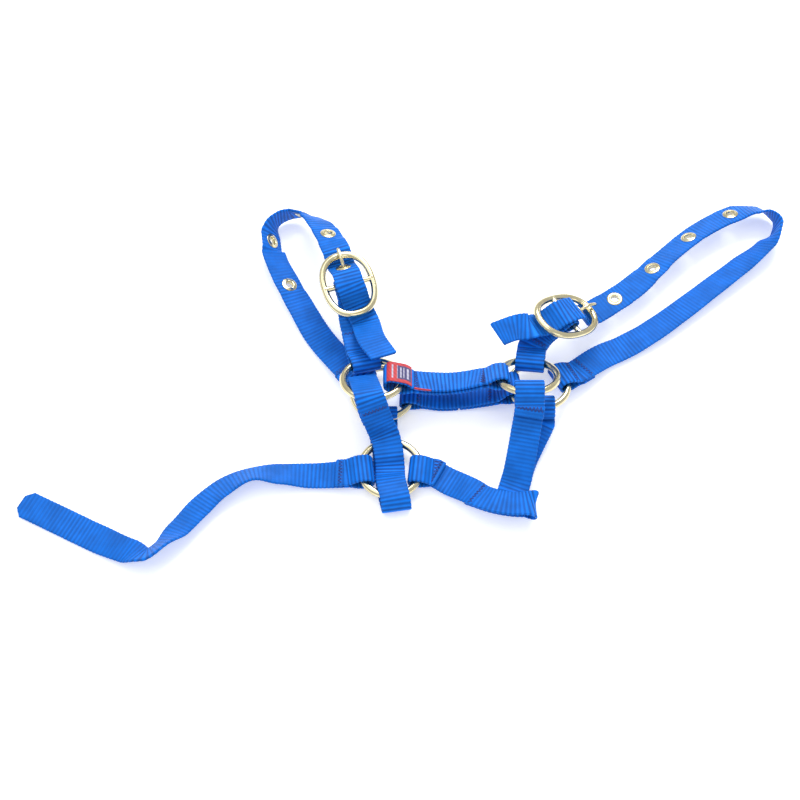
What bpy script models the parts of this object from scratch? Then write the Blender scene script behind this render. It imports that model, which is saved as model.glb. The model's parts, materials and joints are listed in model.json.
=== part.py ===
"""Small webbing halter lying on its left side: nylon straps, brass rings, two
centre-bar buckles, ten two-piece eyelets and a woven label. Units: millimetres
in the layout, metres in the scene."""
import bpy
import bmesh
import math
from mathutils import Vector, Matrix

MM = 0.001

# ---- webbing and hardware sizes (mm)
WEB_W = 19.0            # webbing width
WEB_T = 2.0             # webbing thickness
PLAY = 0.35             # free space left between two pieces
LAYER = WEB_T + PLAY    # pitch of two stacked layers
RING_OD = 43.0
RING_WIRE = 4.6
FRAME_LONG = 48.0       # buckle outer length
FRAME_WIDE = 37.0       # buckle outer width
FRAME_WIRE = 4.6
BAR_WIRE = 3.8          # centre bar
TONGUE_WIRE = 2.4
EYELET_OD = 10.6
EYELET_BORE = 4.8
EYELET_WALL = 0.45
EYELET_PITCH = 37.0
FLANGE_T = 0.7
STEP = 4.5              # longest straight stretch of a strap
LAYER_STEP = 5.5        # spacing of the points two sewn layers share
LAYOUT_X = 11.3         # layout point that becomes the origin
LAYOUT_Y = 16.35

RING_R = (RING_OD - RING_WIRE) / 2
SAG = RING_R - math.sqrt(RING_R ** 2 - (WEB_W / 2) ** 2)
SEWN = LAYER + 0.25      # pitch of two layers sewn to each other

for old in list(bpy.data.objects):
    bpy.data.objects.remove(old, do_unlink=True)


# ---- materials
def material(name, colour, rough, metal):
    mat = bpy.data.materials.new(name)
    mat.use_nodes = True
    shader = mat.node_tree.nodes["Principled BSDF"]
    shader.inputs["Base Color"].default_value = (*colour, 1.0)
    shader.inputs["Roughness"].default_value = rough
    shader.inputs["Metallic"].default_value = metal
    return mat


WEBBING = material("blue_webbing", (0.02, 0.13, 0.62), 0.55, 0.0)
BRASS = material("pale_brass", (0.82, 0.72, 0.42), 0.22, 1.0)
LABEL = material("woven_label", (0.55, 0.03, 0.05), 0.7, 0.0)


# ---- small geometry helpers
def vec(x, y, z):
    return Vector((float(x), float(y), float(z)))


def square_to(direction, axis):
    """The part of a direction that stands square to an axis, as a unit."""
    out = direction - axis * direction.dot(axis)
    return out.normalized()


def spline(points, step):
    """Smooth stations through (place, width hint) pairs."""
    places = [p for p, w in points]
    hints = []
    for p, w in points:
        unit = w.normalized()
        hints.append(-unit if hints and unit.dot(hints[-1]) < 0 else unit)
    stations = []
    last = len(places) - 1
    for i in range(last):
        p1, p2 = places[i], places[i + 1]
        p0 = places[i - 1] if i > 0 else p1 - (p2 - p1)
        p3 = places[i + 2] if i + 2 <= last else p2 + (p2 - p1)
        span = (p2 - p1).length
        t1 = (p2 - p0) * (span / ((p2 - p1).length + (p1 - p0).length))
        t2 = (p3 - p1) * (span / ((p3 - p2).length + (p2 - p1).length))
        count = max(1, math.ceil(span / step - 0.3))
        for k in range(count + (1 if i == last - 1 else 0)):
            u = k / count
            place = (p1 * (2 * u ** 3 - 3 * u ** 2 + 1) + t1 * (u ** 3 - 2 * u ** 2 + u)
                     + p2 * (3 * u ** 2 - 2 * u ** 3) + t2 * (u ** 3 - u ** 2))
            tangent = (p1 * (6 * u ** 2 - 6 * u) + t1 * (3 * u ** 2 - 4 * u + 1)
                       + p2 * (6 * u - 6 * u ** 2) + t2 * (3 * u ** 2 - 2 * u))
            ease = u * u * (3 - 2 * u)
            hint = hints[i].lerp(hints[i + 1], ease)
            tangent.normalize()
            across = square_to(hint, tangent)
            stations.append((place, tangent, across))
    return stations


def lengths(stations):
    run = [0.0]
    for a, b in zip(stations, stations[1:]):
        run.append(run[-1] + (b[0] - a[0]).length)
    return run


def station_at(stations, distance):
    run = lengths(stations)
    for i in range(len(run) - 1):
        if run[i + 1] >= distance:
            u = (distance - run[i]) / (run[i + 1] - run[i])
            a, b = stations[i], stations[i + 1]
            tangent = a[1].lerp(b[1], u).normalized()
            across = square_to(a[2].lerp(b[2], u), tangent)
            return (a[0].lerp(b[0], u), tangent, across)
    return stations[-1]


def flatten_at(stations, distances, half):
    """Keep the strap flat and straight for a short way round each distance."""
    run = lengths(stations)
    patches = []
    for d in distances:
        place, tangent, across = station_at(stations, d)
        patches.append((d, (place - tangent * half, tangent, across),
                        (place + tangent * half, tangent, across)))
    out = []
    for s, st in zip(run, stations):
        if all(abs(s - d) > half + 1.5 for d in distances):
            out.append((s, st))
    for d, first, second in patches:
        out.append((d - half, first))
        out.append((d + half, second))
    out.sort(key=lambda item: item[0])
    return [st for s, st in out]


def to_object(name, bm, mat, smooth, origin=None):
    bmesh.ops.recalc_face_normals(bm, faces=bm.faces)
    shift = origin if origin is not None else vec(0, 0, 0)
    for v in bm.verts:
        v.co = (v.co - shift) * MM
    mesh = bpy.data.meshes.new(name)
    bm.to_mesh(mesh)
    bm.free()
    for poly in mesh.polygons:
        poly.use_smooth = smooth
    obj = bpy.data.objects.new(name, mesh)
    bpy.context.scene.collection.objects.link(obj)
    mesh.materials.append(mat)
    obj.location = (shift - vec(LAYOUT_X, LAYOUT_Y, 0)) * MM
    return obj


def ribbon_mesh(stations, width, thick, chamfer=0.0):
    bm = bmesh.new()
    rows = []
    last = len(stations) - 1
    for i, (place, tangent, across) in enumerate(stations):
        face = across.cross(tangent).normalized()
        half = width / 2
        if chamfer and i == last:
            half -= chamfer
        row = []
        for a, f in ((-1, -1), (1, -1), (1, 1), (-1, 1)):
            row.append(bm.verts.new(place + across * (a * half) + face * (f * thick / 2)))
        rows.append(row)
    for r0, r1 in zip(rows, rows[1:]):
        for k in range(4):
            bm.faces.new((r0[k], r0[(k + 1) % 4], r1[(k + 1) % 4], r1[k]))
    bm.faces.new(rows[0])
    bm.faces.new(rows[-1])
    return bm


def tube_mesh(places, radius, sides, closed, side_axis):
    """A round rod along a flat path; side_axis is square to the path's plane."""
    bm = bmesh.new()
    rows = []
    n = len(places)
    for i, place in enumerate(places):
        before = places[(i - 1) % n] if closed or i > 0 else place
        after = places[(i + 1) % n] if closed or i < n - 1 else place
        tangent = (after - before).normalized()
        out = side_axis.cross(tangent).normalized()
        row = []
        for k in range(sides):
            a = 2 * math.pi * k / sides
            row.append(bm.verts.new(place + (out * math.cos(a) + side_axis * math.sin(a)) * radius))
        rows.append(row)
    pairs = list(zip(rows, rows[1:]))
    if closed:
        pairs.append((rows[-1], rows[0]))
    for r0, r1 in pairs:
        for k in range(sides):
            bm.faces.new((r0[k], r0[(k + 1) % sides], r1[(k + 1) % sides], r1[k]))
    if not closed:
        bm.faces.new(rows[0])
        bm.faces.new(rows[-1])
    return bm


# ---- rings
class Ring:
    """A round ring: centre, the direction its hole faces, and its wire."""

    def __init__(self, name, centre, facing):
        self.name = name
        self.centre = vec(*centre)
        self.axis = vec(*facing).normalized()

    def hold(self, towards, away):
        """Where webbing goes round the wire: centre of the fold, the direction
        the webbing leaves in, and the direction of its width."""
        out = square_to(vec(*towards), self.axis)
        across = self.axis.cross(out)
        place = self.centre + out * (RING_R - SAG / 2)
        return place, square_to(vec(*away), across), across

    def build(self):
        e1 = square_to(vec(1, 0, 0), self.axis)
        e2 = self.axis.cross(e1)
        path = []
        for k in range(28):
            a = 2 * math.pi * k / 28
            path.append((e1 * math.cos(a) + e2 * math.sin(a)) * RING_R)
        bm = tube_mesh([p + self.centre for p in path], RING_WIRE / 2, 8, True, self.axis)
        return to_object(self.name, bm, BRASS, True, self.centre)


NOSE_NEAR = Ring("nose_ring_near", (-17.5, 1.5, 24), (0, 0.345, 0.94))
NOSE_FAR = Ring("nose_ring_far", (-11.4, 2, 5.8), (0, 0, 1))
CHEEK_NEAR = Ring("cheek_ring_near", (82, 3.5, 24.8), (0, 0.45, 0.89))
CHEEK_FAR = Ring("cheek_ring_far", (90, 5, 10.2), (0, 0.2, 0.98))
CHIN = Ring("chin_ring", (-6, -54, 6.4), (0, 0, 1))

RING_BEND = RING_WIRE / 2 + PLAY + WEB_T / 2 + 0.45
STEEP_BEND = RING_BEND + 0.55    # webbing that leaves at an angle to the ring
SWING_BEND = RING_BEND + 0.85    # webbing that swings round the ring
RING_SLACK = SAG / 2 + 0.2
BAR_BEND = BAR_WIRE / 2 + PLAY + WEB_T / 2 + 0.25


class Fold:
    """Webbing round a wire. Its two layers leave side by side; offsets are
    measured from the line between them, and it runs past the wire by its slack."""

    def __init__(self, hold, up=(0, 0, 1), bend=RING_BEND, slack=RING_SLACK):
        self.place, self.leave, self.across = hold
        self.face = self.across.cross(self.leave)
        if self.face.dot(vec(*up)) < 0:
            self.face = -self.face
        self.bend = bend
        self.slack = slack
        self.settled = bend + 6.0    # the layers lie on each other from here on

    def at(self, u, v):
        return (self.place + self.leave * u + self.face * v, self.across)

    def turn(self, side, free=100.0):
        """Points round the wire; side 1 starts on the upper layer, -1 on the lower.
        The layers close up along an eased curve. free cuts the starting layer."""
        bend, m = self.bend, LAYER / 2
        leg = []
        for t in (0.8, 0.6, 0.4, 0.2, 0.0):
            ease = t * t * (3 - 2 * t)
            u = bend * 0.3 + (self.settled - bend * 0.3) * t
            leg.append((u, m + (bend * 0.98 - m) * (1 - ease)))
        arc = []
        for k in range(9):
            a = math.radians(90 + 22.5 * k)
            arc.append((bend * math.cos(a) - self.slack, bend * math.sin(a)))
        if not self.slack:
            arc = arc[1:-1]
        path = [(u, v) for u, v in leg if u < free] + arc + [(u, -v) for u, v in reversed(leg)]
        return [self.at(u, v * side) for u, v in path]


def folded(fold, free, after, free_on_top=False):
    """A single strap from its free end, round a wire and on through the points
    after it. The free end lies on the working layer and follows it."""
    side = 1.0 if free_on_top else -1.0
    m = LAYER / 2
    start = fold.at(fold.settled - 4.0, -m * side)
    working = fold.at(fold.settled, -m * side)
    under = spline([start, working] + after[:3], 2.0)
    points = []
    for u in (free, fold.settled + 3.0, fold.settled):
        if u > free or u == free < fold.settled + 3.5:
            continue
        place, tangent, across = station_at(under, u - fold.settled + 4.0)
        face = across.cross(tangent).normalized()
        if face.dot(fold.face) < 0:
            face = -face
        points.append((place + face * (SEWN * side), across))
    return points + fold.turn(side, free) + [working] + after


# ---- buckles
# tongue and strap runs through a buckle, (along, above) from the centre bar
TONGUE_PATH = [(4.5, -3.3), (7.6, -2.2), (9.4, -0.6), (12.2, 2.2), (14.6, 4.2),
               (18, 5.3), (22, 5.1), (25.5, 4.2)]
EYE_U, EYE_V = 11.0, 1.0
STRAP_IN = [(29, -4.0), (23, -4.7), (18.6, -4.9), (15.1, -3.1), (6.9, 5.1), (3, 6.4), (-3, 6.2)]
STRAP_OUT = [(-7.5, 3.9), (-12, -1.5), (-16.2, -4.9), (-21.7, -5.2), (-27, -5.2)]


class Buckle:
    """Oval frame with a bar across its middle and a bent tongue."""

    def __init__(self, name, centre, along, facing):
        self.name = name
        self.centre = vec(*centre)
        self.along = vec(*along).normalized()
        self.face = square_to(vec(*facing), self.along)
        self.across = self.face.cross(self.along)

    def at(self, u, w, v):
        return self.centre + self.along * u + self.across * w + self.face * v

    def hold(self):
        """The mount strap leaves the bar away from the tongue and below it."""
        return self.centre, (self.along * -0.85 - self.face * 0.53).normalized(), self.across

    def slot(self, mount):
        """Cut the tongue's slot through the fold round the centre bar."""
        half = TONGUE_WIRE / 2 + PLAY + 0.15
        bm = bmesh.new()
        corners = {}
        for i in (-1, 1):
            for j in (-1, 1):
                for k in (-1, 1):
                    corners[i, j, k] = bm.verts.new(self.at(0.6 + 5.8 * i, half * j, 5.6 * k))
        for axis in range(3):
            for sign in (-1, 1):
                ring = []
                for a, b in ((-1, -1), (1, -1), (1, 1), (-1, 1)):
                    key = [a, b]
                    key.insert(axis, sign)
                    ring.append(corners[tuple(key)])
                bm.faces.new(ring)
        join(mount, to_object("slot_cutter", bm, BRASS, False), "DIFFERENCE")

    def build(self):
        a_long = (FRAME_LONG - FRAME_WIRE) / 2
        a_wide = (FRAME_WIDE - FRAME_WIRE) / 2
        path = []
        for k in range(28):
            t = 2 * math.pi * k / 28
            c, s = math.cos(t), math.sin(t)
            path.append(self.at(a_long * math.copysign(abs(c) ** 0.86, c),
                                a_wide * math.copysign(abs(s) ** 0.86, s), 0))
        oval = to_object(self.name + "_frame", tube_mesh(path, FRAME_WIRE / 2, 8, True, self.face),
                         BRASS, True, self.centre)
        ends = [self.at(0, -a_wide, 0), self.at(0, a_wide, 0)]
        bar = to_object(self.name + "_bar_guide",
                        tube_mesh(ends, BAR_WIRE / 2, 8, False, self.face), BRASS, True, self.centre)
        join(oval, bar)
        r = BAR_WIRE / 2 + PLAY + TONGUE_WIRE / 2 + 0.1
        path = []
        for k in range(8):
            a = math.radians(50 + k * 220 / 7)
            path.append(self.at(r * math.cos(a), 0, r * math.sin(a)))
        for u, v in TONGUE_PATH:
            path.append(self.at(u, 0, v))
        bm = tube_mesh(path, TONGUE_WIRE / 2, 8, False, self.across)
        to_object(self.name + "_tongue", bm, BRASS, True, self.centre)

    def through(self, shift):
        """Strap control points, entering by the tongue's end."""
        pts = [(self.at(u, 0, v), self.across) for u, v in STRAP_IN]
        n = len(STRAP_OUT)
        for i, (u, v) in enumerate(STRAP_OUT):
            pts.append((self.at(u, shift * (i + 1) / n, v), self.across))
        return pts


def join(target, tool, operation="UNION"):
    mod = target.modifiers.new("join", "BOOLEAN")
    mod.operation = operation
    mod.solver = "EXACT"
    mod.object = tool
    bpy.context.view_layer.update()
    done = target.evaluated_get(bpy.context.evaluated_depsgraph_get())
    mesh = bpy.data.meshes.new_from_object(done)
    target.modifiers.clear()
    target.data = mesh
    bpy.data.objects.remove(tool, do_unlink=True)


NOSE_BUCKLE = Buckle("nose_buckle", (-34, 70.5, 31), (-0.30, 0.93, 0.16), (0, 0, 1))
CROWN_BUCKLE = Buckle("crown_buckle", (109, 48, 27), (0.8, 0.5, -0.4), (0, 0, 1))


# ---- eyelets
def spin(name, profile, place, tangent, across, face):
    bm = bmesh.new()
    rows = []
    for k in range(14):
        a = 2 * math.pi * k / 14
        side = tangent * math.cos(a) + across * math.sin(a)
        rows.append([bm.verts.new(place + side * r + face * h) for r, h in profile])
    n = len(profile)
    for k in range(14):
        r0, r1 = rows[k], rows[(k + 1) % 14]
        for j in range(n):
            bm.faces.new((r0[j], r0[(j + 1) % n], r1[(j + 1) % n], r1[j]))
    to_object(name, bm, BRASS, True, place)


def eyelet(name, place, tangent, across, face):
    """Grommet with its barrel from the outer face, washer on the inner face."""
    r_in = EYELET_BORE / 2
    r_mid = r_in + EYELET_WALL
    r_out = EYELET_OD / 2
    top = WEB_T / 2 + PLAY + FLANGE_T
    grommet = [(r_in, -top), (r_mid, -top), (r_mid, top - FLANGE_T), (r_out, top - FLANGE_T),
               (r_out, top - 0.25), (r_in + 0.4, top), (r_in, top - 0.3)]
    washer = [(r_mid + PLAY, -top), (r_out, -top), (r_out, FLANGE_T - top),
              (r_mid + PLAY, FLANGE_T - top)]
    spin(name + "_grommet", grommet, place, tangent, across, face)
    spin(name + "_washer", washer, place, tangent, across, face)


def punch(strap, place, tangent, across, face):
    """Cut an eyelet hole through a strap."""
    r = (EYELET_BORE / 2 + EYELET_WALL + PLAY) / math.cos(math.pi / 12)
    bm = bmesh.new()
    rows = []
    for f in (-3.0, 3.0):
        row = []
        for k in range(12):
            a = 2 * math.pi * k / 12
            side = tangent * math.cos(a) + across * math.sin(a)
            row.append(bm.verts.new(place + side * r + face * f))
        rows.append(row)
    for k in range(12):
        bm.faces.new((rows[0][k], rows[0][(k + 1) % 12], rows[1][(k + 1) % 12], rows[1][k]))
    bm.faces.new(rows[0])
    bm.faces.new(rows[1])
    join(strap, to_object("eyelet_cutter", bm, BRASS, False), "DIFFERENCE")


def nearest(stations, place):
    """Distance along the stations of the point closest to a place."""
    run = lengths(stations)
    best, where = 1e9, 0.0
    for i in range(len(stations) - 1):
        a, b = stations[i][0], stations[i + 1][0]
        seg = b - a
        u = max(0.0, min(1.0, (place - a).dot(seg) / seg.length_squared))
        d = (a + seg * u - place).length
        if d < best:
            best, where = d, run[i] + seg.length * u
    return where


def strap(name, points, chamfer=0.0):
    return to_object(name, ribbon_mesh(spline(points, STEP), WEB_W, WEB_T, chamfer), WEBBING, False)


def punched_strap(name, points, buckle, prefix):
    rough = spline(points, STEP)
    eye = nearest(rough, buckle.at(EYE_U, 0, EYE_V))
    marks = [eye - i * EYELET_PITCH for i in range(5)]
    stations = flatten_at(rough, marks, 5.8)
    obj = to_object(name, ribbon_mesh(stations, WEB_W, WEB_T), WEBBING, False)
    outer = None
    for i, d in enumerate(marks):
        place, tangent, across = station_at(rough, d)
        face = across.cross(tangent).normalized()
        if outer is None:
            outer = 1.0 if face.dot(buckle.face) > 0 else -1.0
        punch(obj, place, tangent, across, face * outer)
        eyelet(f"{prefix}_eyelet_{i + 1}", place, tangent, across, face * outer)
    return obj


def doubled(first, second, mids, pitch=SEWN, gap=2.0):
    """One length of webbing folded round two wires and sewn back to itself.
    Both layers keep the same distance from one centre line; mids are its
    (place, width) points between the two folds."""
    line = [first.at(first.settled - 5.0, 0), first.at(first.settled, 0)] + mids
    line += [second.at(second.settled, 0), second.at(second.settled - 5.0, 0)]
    upper, lower = [], []
    for place, tangent, across in spline(line, LAYER_STEP)[1:-1]:
        face = across.cross(tangent).normalized() * (pitch / 2)
        if face.dot(first.face) < 0:
            face = -face
        upper.append((place + face, across))
        lower.append((place - face, across))
    k = len(lower) // 2
    here, width = lower[k]
    step = (lower[k + 1][0] - here).normalized() * (gap / 2)
    points = [(here + step, width)] + lower[k + 1:] + second.turn(-1)
    return points + upper[::-1] + first.turn(1) + lower[:k] + [(here - step, width)]


# ---- the straps
def nose():
    # far ring, up and round the nose, then down through its buckle
    pts = [(vec(-54, 47.5, 2.0), vec(-8, -6, 0)), (vec(-67, 71, 3.4), vec(-8, -5, 2)),
            (vec(-77, 90, 5.2), vec(-8, -3.5, 3.5)), (vec(-86, 110, 7.4), vec(-8, -1.5, 5)),
            (vec(-89, 127, 9.5), vec(-5, 0, 8)), (vec(-85, 139, 10.3), vec(-1, -2, 9)),
            (vec(-74, 143, 11.5), vec(-1, -3, 9)), (vec(-62, 136, 17), vec(-6, -4, 7)),
            (vec(-53, 123, 23.5), vec(-8, -4, 4))]
    pts += NOSE_BUCKLE.through(-3.4)
    pts += [(vec(-18.5, 30, 27.5), vec(8, 3.6, -1.2)), (vec(-10, 14.5, 31), vec(8, 4, -2))]
    ring = Fold(NOSE_FAR.hold((-0.8, 0.6, 0), (-0.8, 0.6, 0)))
    punched_strap("nose_strap", folded(ring, 14, pts), NOSE_BUCKLE, "nose")

    b = NOSE_BUCKLE
    mids = [(b.at(-18, 2.5, -9.7), b.across)]
    ring = Fold(NOSE_NEAR.hold((-0.3, 1, 0), (-0.3, 1, -0.1)), (0, 0, 1), RING_BEND + 0.15)
    bar = Fold(b.hold(), b.face, BAR_BEND, 0.0)
    b.slot(strap("nose_buckle_mount", doubled(bar, ring, mids)))


def crown():
    # far ring, out round the poll, back down through its buckle
    pts = [(vec(134, 31, 3.6), vec(6, -8, 0)), (vec(149, 39, 2.6), vec(6, -8, 1)),
            (vec(167, 50, 3.6), vec(6, -8, 2.2)), (vec(188, 66, 4.2), vec(6, -8, 3)),
            (vec(210, 84, 5.2), vec(6, -8, 4)), (vec(232, 102, 6.2), vec(6, -8, 5)),
            (vec(252, 119, 8.2), vec(5, -6, 7)), (vec(261, 131, 9.8), vec(2, -1, 9)),
            (vec(259, 142, 10.5), vec(-1, -3, 8)), (vec(248, 146.5, 11), vec(0, -7, 6)),
            (vec(231, 142, 12), vec(3, -9, 4)), (vec(206, 127, 12.5), vec(5, -8, 4.5)),
            (vec(184, 108, 12.5), vec(6, -7, 5)), (vec(156, 80, 12), vec(6, -8, 1.5))]
    pts += CROWN_BUCKLE.through(3.2)
    pts += [(vec(75, 37, 30), vec(-3, 9, 0)), (vec(61, 34, 25), vec(-3.5, 9, 0))]
    ring = Fold(CHEEK_FAR.hold((1, 0.45, 0), (1, 0.5, -0.15)))
    punched_strap("crown_strap", folded(ring, 20, pts), CROWN_BUCKLE, "crown")

    b = CROWN_BUCKLE
    mids = [(vec(92.9, 38.3, 21.3), vec(-0.74, 0.67, 0))]
    ring = Fold(CHEEK_NEAR.hold((0.15, 1, 0), (0.15, 1, 0.05)), (0, 0, 1), STEEP_BEND)
    bar = Fold(b.hold(), b.face, BAR_BEND, 0.0)
    b.slot(strap("crown_buckle_mount", doubled(bar, ring, mids, SEWN + 0.25)))


def cheeks():
    right = Fold(CHEEK_NEAR.hold((-1, -0.03, 0), (-1, 0, -0.12)))
    mids = [(vec(20, 1.4, 19.2), vec(0, 1, -0.34)), (vec(32, 1.8, 18.2), vec(0, 1, -0.38)),
            (vec(44, 2.4, 20.2), vec(0, 1, -0.44))]
    strap("cheek_strap_near", doubled(nose_end_of_cheek(), right, mids))
    left = Fold(NOSE_FAR.hold((1, -0.04, 0), (1, 0, -0.15)), (0, 0, 1), RING_BEND, 1.8)
    right = Fold(CHEEK_FAR.hold((-1, -0.12, 0), (-1, -0.05, -0.3)), (0, 0, 1), STEEP_BEND)
    mids = [(vec(26, 0.2, 3.1), vec(0, 1, 0)), (vec(38, 0.7, 3.1), vec(0, 1, 0)),
            (vec(50, 1.2, 4.4), vec(0, 1, -0.1))]
    strap("cheek_strap_far", doubled(left, right, mids))


def nose_end_of_cheek():
    return Fold(NOSE_NEAR.hold((1, 0, 0), (1, 0, -0.25)), (0, 0, 1), RING_BEND, 6.5)


def label():
    """Woven patch wrapped over the nose end of the near cheek strap."""
    upper = nose_end_of_cheek().turn(-1)[-8:]
    clear = WEB_T / 2 + PLAY + 0.35
    raised = []
    for place, tangent, across in spline(upper, 3.0)[:-1]:
        face = across.cross(tangent).normalized()
        if face.z < 0:
            face = -face
        raised.append((place + face * clear, tangent, across))
    to_object("label", ribbon_mesh(raised, WEB_W + 0.6, 0.6), LABEL, False)


def chin():
    # a slack loop over the near ring's front wire, then down through the chin ring
    across = vec(1, 0.15, 0)
    skew = vec(1, 0.22, -0.08)
    pts = [(vec(-14.4, -26.4, 19.2), skew), (vec(-17.4, -20.6, 23.0), skew), (vec(-19.4, -14.6, 24.9), skew),
           (vec(-21.8, -6.5, 21.5), skew), (vec(-23.8, 0.3, 18.0), skew), (vec(-24.8, 4.4, 17.6), skew),
           (vec(-25, 5.3, 20.0), skew), (vec(-24.4, 3.0, 23.9), skew), (vec(-22.1, -6.6, 30.9), skew),
           (vec(-19.9, -15.2, 35.2), skew), (vec(-18.3, -19.8, 34.2), skew), (vec(-16.0, -24.4, 28.2), skew),
           (vec(-13.0, -29.4, 20.0), skew), (vec(-9.6, -33.6, 12.9), across),
           (vec(-7.9, -39.5, 10.2), across),
           (vec(-6.9, -46, 8.4), across), (vec(-6.4, -50.5, 5.4), across), (vec(-6.2, -54, 4.5), across),
           (vec(-6.2, -57.5, 5.4), across), (vec(-6, -62, 8.4), across), (vec(-5, -67.5, 10.1), across),
           (vec(-2.8, -77.5, 10.1), across), (vec(-2, -82.7, 5.6), across), (vec(-2.8, -78, 1.5), across),
           (vec(-5, -68, 1.3), across), (vec(-7.6, -50, 1.3), across), (vec(-8.6, -37, 1.3), across)]
    far = Fold(NOSE_FAR.hold((0.02, -1, 0), (0, -1, -0.1)), (0, 0, 1), STEEP_BEND)
    strap("chin_strap", folded(far, 5, pts[::-1], True)[::-1])


def throat():
    across = vec(1, -0.1, 0)
    pts = [(vec(79, -38, 20.5), across), (vec(75.5, -55, 13), across), (vec(73, -65, 8.3), across),
           (vec(70.4, -72, 7.3), across), (vec(68.6, -80, 9.5), across), (vec(68.2, -84, 10.6), across),
           (vec(68.1, -86, 9.9), across), (vec(68.2, -84.2, 8.0), across), (vec(68.6, -80, 6.9), across),
           (vec(70.4, -71, 4.5), across), (vec(73, -62, 2.9), across), (vec(79, -45, 4.2), across)]
    near = Fold(CHEEK_NEAR.hold((0, -1, 0), (-0.1, -0.9, -0.25)), (0, 0, 1), STEEP_BEND + 0.2)
    far = Fold(CHEEK_FAR.hold((0.01, -1, 0), (-0.2, -0.9, -0.25)), (0, 0, 1), STEEP_BEND)
    strap("throat_strap", folded(near, 17, folded(far, 9, pts[::-1], True)[::-1], True))


def jowl():
    flat = vec(0.3, 1, 0)
    lean = vec(0.1, 1, -0.28)
    pts = [(vec(32, -62.5, 4.2), flat), (vec(43, -69.5, 7.4), vec(0.3, 1, -0.1)),
            (vec(52, -76, 10.4), lean), (vec(61, -80, 12.5), lean), (vec(71, -81.7, 12.8), lean),
            (vec(80.3, -81.5, 12.4), lean), (vec(84.0, -80.5, 8.2), lean), (vec(80.3, -79, 4.1), lean),
            (vec(71, -78.5, 3.7), lean), (vec(60, -76.5, 3.7), lean), (vec(50, -73, 3.8), lean),
            (vec(44, -70, 3.8), vec(0.3, 1, -0.2))]
    strap("jowl_strap", folded(Fold(CHIN.hold((1, -0.1, 0), (1, -0.2, -0.05))), 14, pts, True))


def lead():
    pts = [(vec(-57, -57, 2.4), vec(0, -9, 1)), (vec(-76, -57, 4.7), vec(1, -8, 3)),
            (vec(-95, -58.5, 7.1), vec(3, -8, 7)), (vec(-113, -68, 5.8), vec(5, -8, 5)),
            (vec(-126, -81, 5.3), vec(7, -7, 4)), (vec(-137, -95, 5.8), vec(7, -7, 5)),
            (vec(-148, -108, 8.7), vec(5, -6, 10)), (vec(-157, -114, 7.4), vec(1, -8, 8)),
            (vec(-169, -109.5, 3.4), vec(-3, -9, 2)), (vec(-187, -101, 1.3), vec(-4, -9, 0)),
            (vec(-213, -88, 1.1), vec(-4, -9, 0)), (vec(-231, -79, 1.1), vec(-4, -9, 0)),
            (vec(-239, -75, 1.1), vec(-4, -9, 0))]
    ring = Fold(CHIN.hold((-1, -0.12, 0), (-1, -0.12, 0)), (0, 0, 1), SWING_BEND)
    strap("lead_strap", folded(ring, 17, pts, True), 4.5)


def build():
    for ring in (NOSE_NEAR, NOSE_FAR, CHEEK_NEAR, CHEEK_FAR, CHIN):
        ring.build()
    for buckle in (NOSE_BUCKLE, CROWN_BUCKLE):
        buckle.build()
    for run in (nose, crown, cheeks, label, chin, throat, jowl, lead):
        run()


build()
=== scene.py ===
"""Detail model of a small webbing halter: ribbed nylon straps, brass rings, buckles and
eyelets, stitching and a woven label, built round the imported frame. Lengths in the layout
are millimetres; LAYOUT is the layout point that lies at the frame's origin."""
import json
import math
import random

import bmesh
import bpy
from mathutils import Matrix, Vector, noise


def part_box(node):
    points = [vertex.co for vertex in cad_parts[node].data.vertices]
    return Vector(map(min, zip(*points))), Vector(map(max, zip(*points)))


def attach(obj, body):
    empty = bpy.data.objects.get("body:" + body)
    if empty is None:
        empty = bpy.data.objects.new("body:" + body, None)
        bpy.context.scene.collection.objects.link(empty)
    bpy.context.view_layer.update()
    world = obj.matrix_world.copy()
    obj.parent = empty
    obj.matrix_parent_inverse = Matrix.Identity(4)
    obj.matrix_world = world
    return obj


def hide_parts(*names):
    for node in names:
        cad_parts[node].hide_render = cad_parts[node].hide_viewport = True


bl_info = {
    "name": "Webbing Halter Detail",
    "version": (1, 0, 0),
    "blender": (4, 5, 0),
    "location": "View3D > Sidebar > Halter",
    "description": "Builds the straps, hardware, stitching and stage of a webbing halter",
    "category": "Object",
}

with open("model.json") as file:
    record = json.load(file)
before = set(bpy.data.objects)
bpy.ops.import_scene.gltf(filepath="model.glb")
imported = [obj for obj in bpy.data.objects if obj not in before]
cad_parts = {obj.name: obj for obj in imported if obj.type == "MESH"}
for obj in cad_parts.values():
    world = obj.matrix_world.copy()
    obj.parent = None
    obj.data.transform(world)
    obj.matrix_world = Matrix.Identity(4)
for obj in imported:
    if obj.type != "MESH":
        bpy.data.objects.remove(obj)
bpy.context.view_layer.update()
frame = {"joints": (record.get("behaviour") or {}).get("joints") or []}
JOINTS = {joint["name"]: joint for joint in frame["joints"]}

MM = 0.001
LAYOUT = Vector((11.3, 16.35, 0.0))
PLAY = 0.35             # free space between two pieces
FLAT_T = 2.0            # thickness the routes were laid out for
LAYER = FLAT_T + PLAY   # pitch of two stacked layers
SEWN = LAYER + 0.25     # pitch of two layers sewn to each other
LAYER_STEP = 5.5        # spacing of the points two sewn layers share
BUTT_GAP = 0.4          # gap where the two ends of a doubled strap meet
HALF_WEB = 9.5
RING_OD = 43.0
RING_WIRE = 4.6
FRAME_LONG = 48.0
FRAME_WIDE = 37.0
EYE_HALF_FLAT = 5.4     # webbing stays flat this far each side of an eyelet
RIB_STEPS = 6           # stations to a rib
BEND_REACH = 4          # stations each side over which a bend is felt
SEAM_HALF = 8.2         # half the length of a seam across the webbing
CAMERA_RAISE = 60       # degrees above the table
CAMERA_AWAY = 1.02      # metres
FLOOR_DROP = 0.0006     # metres the table lies under the halter


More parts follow.
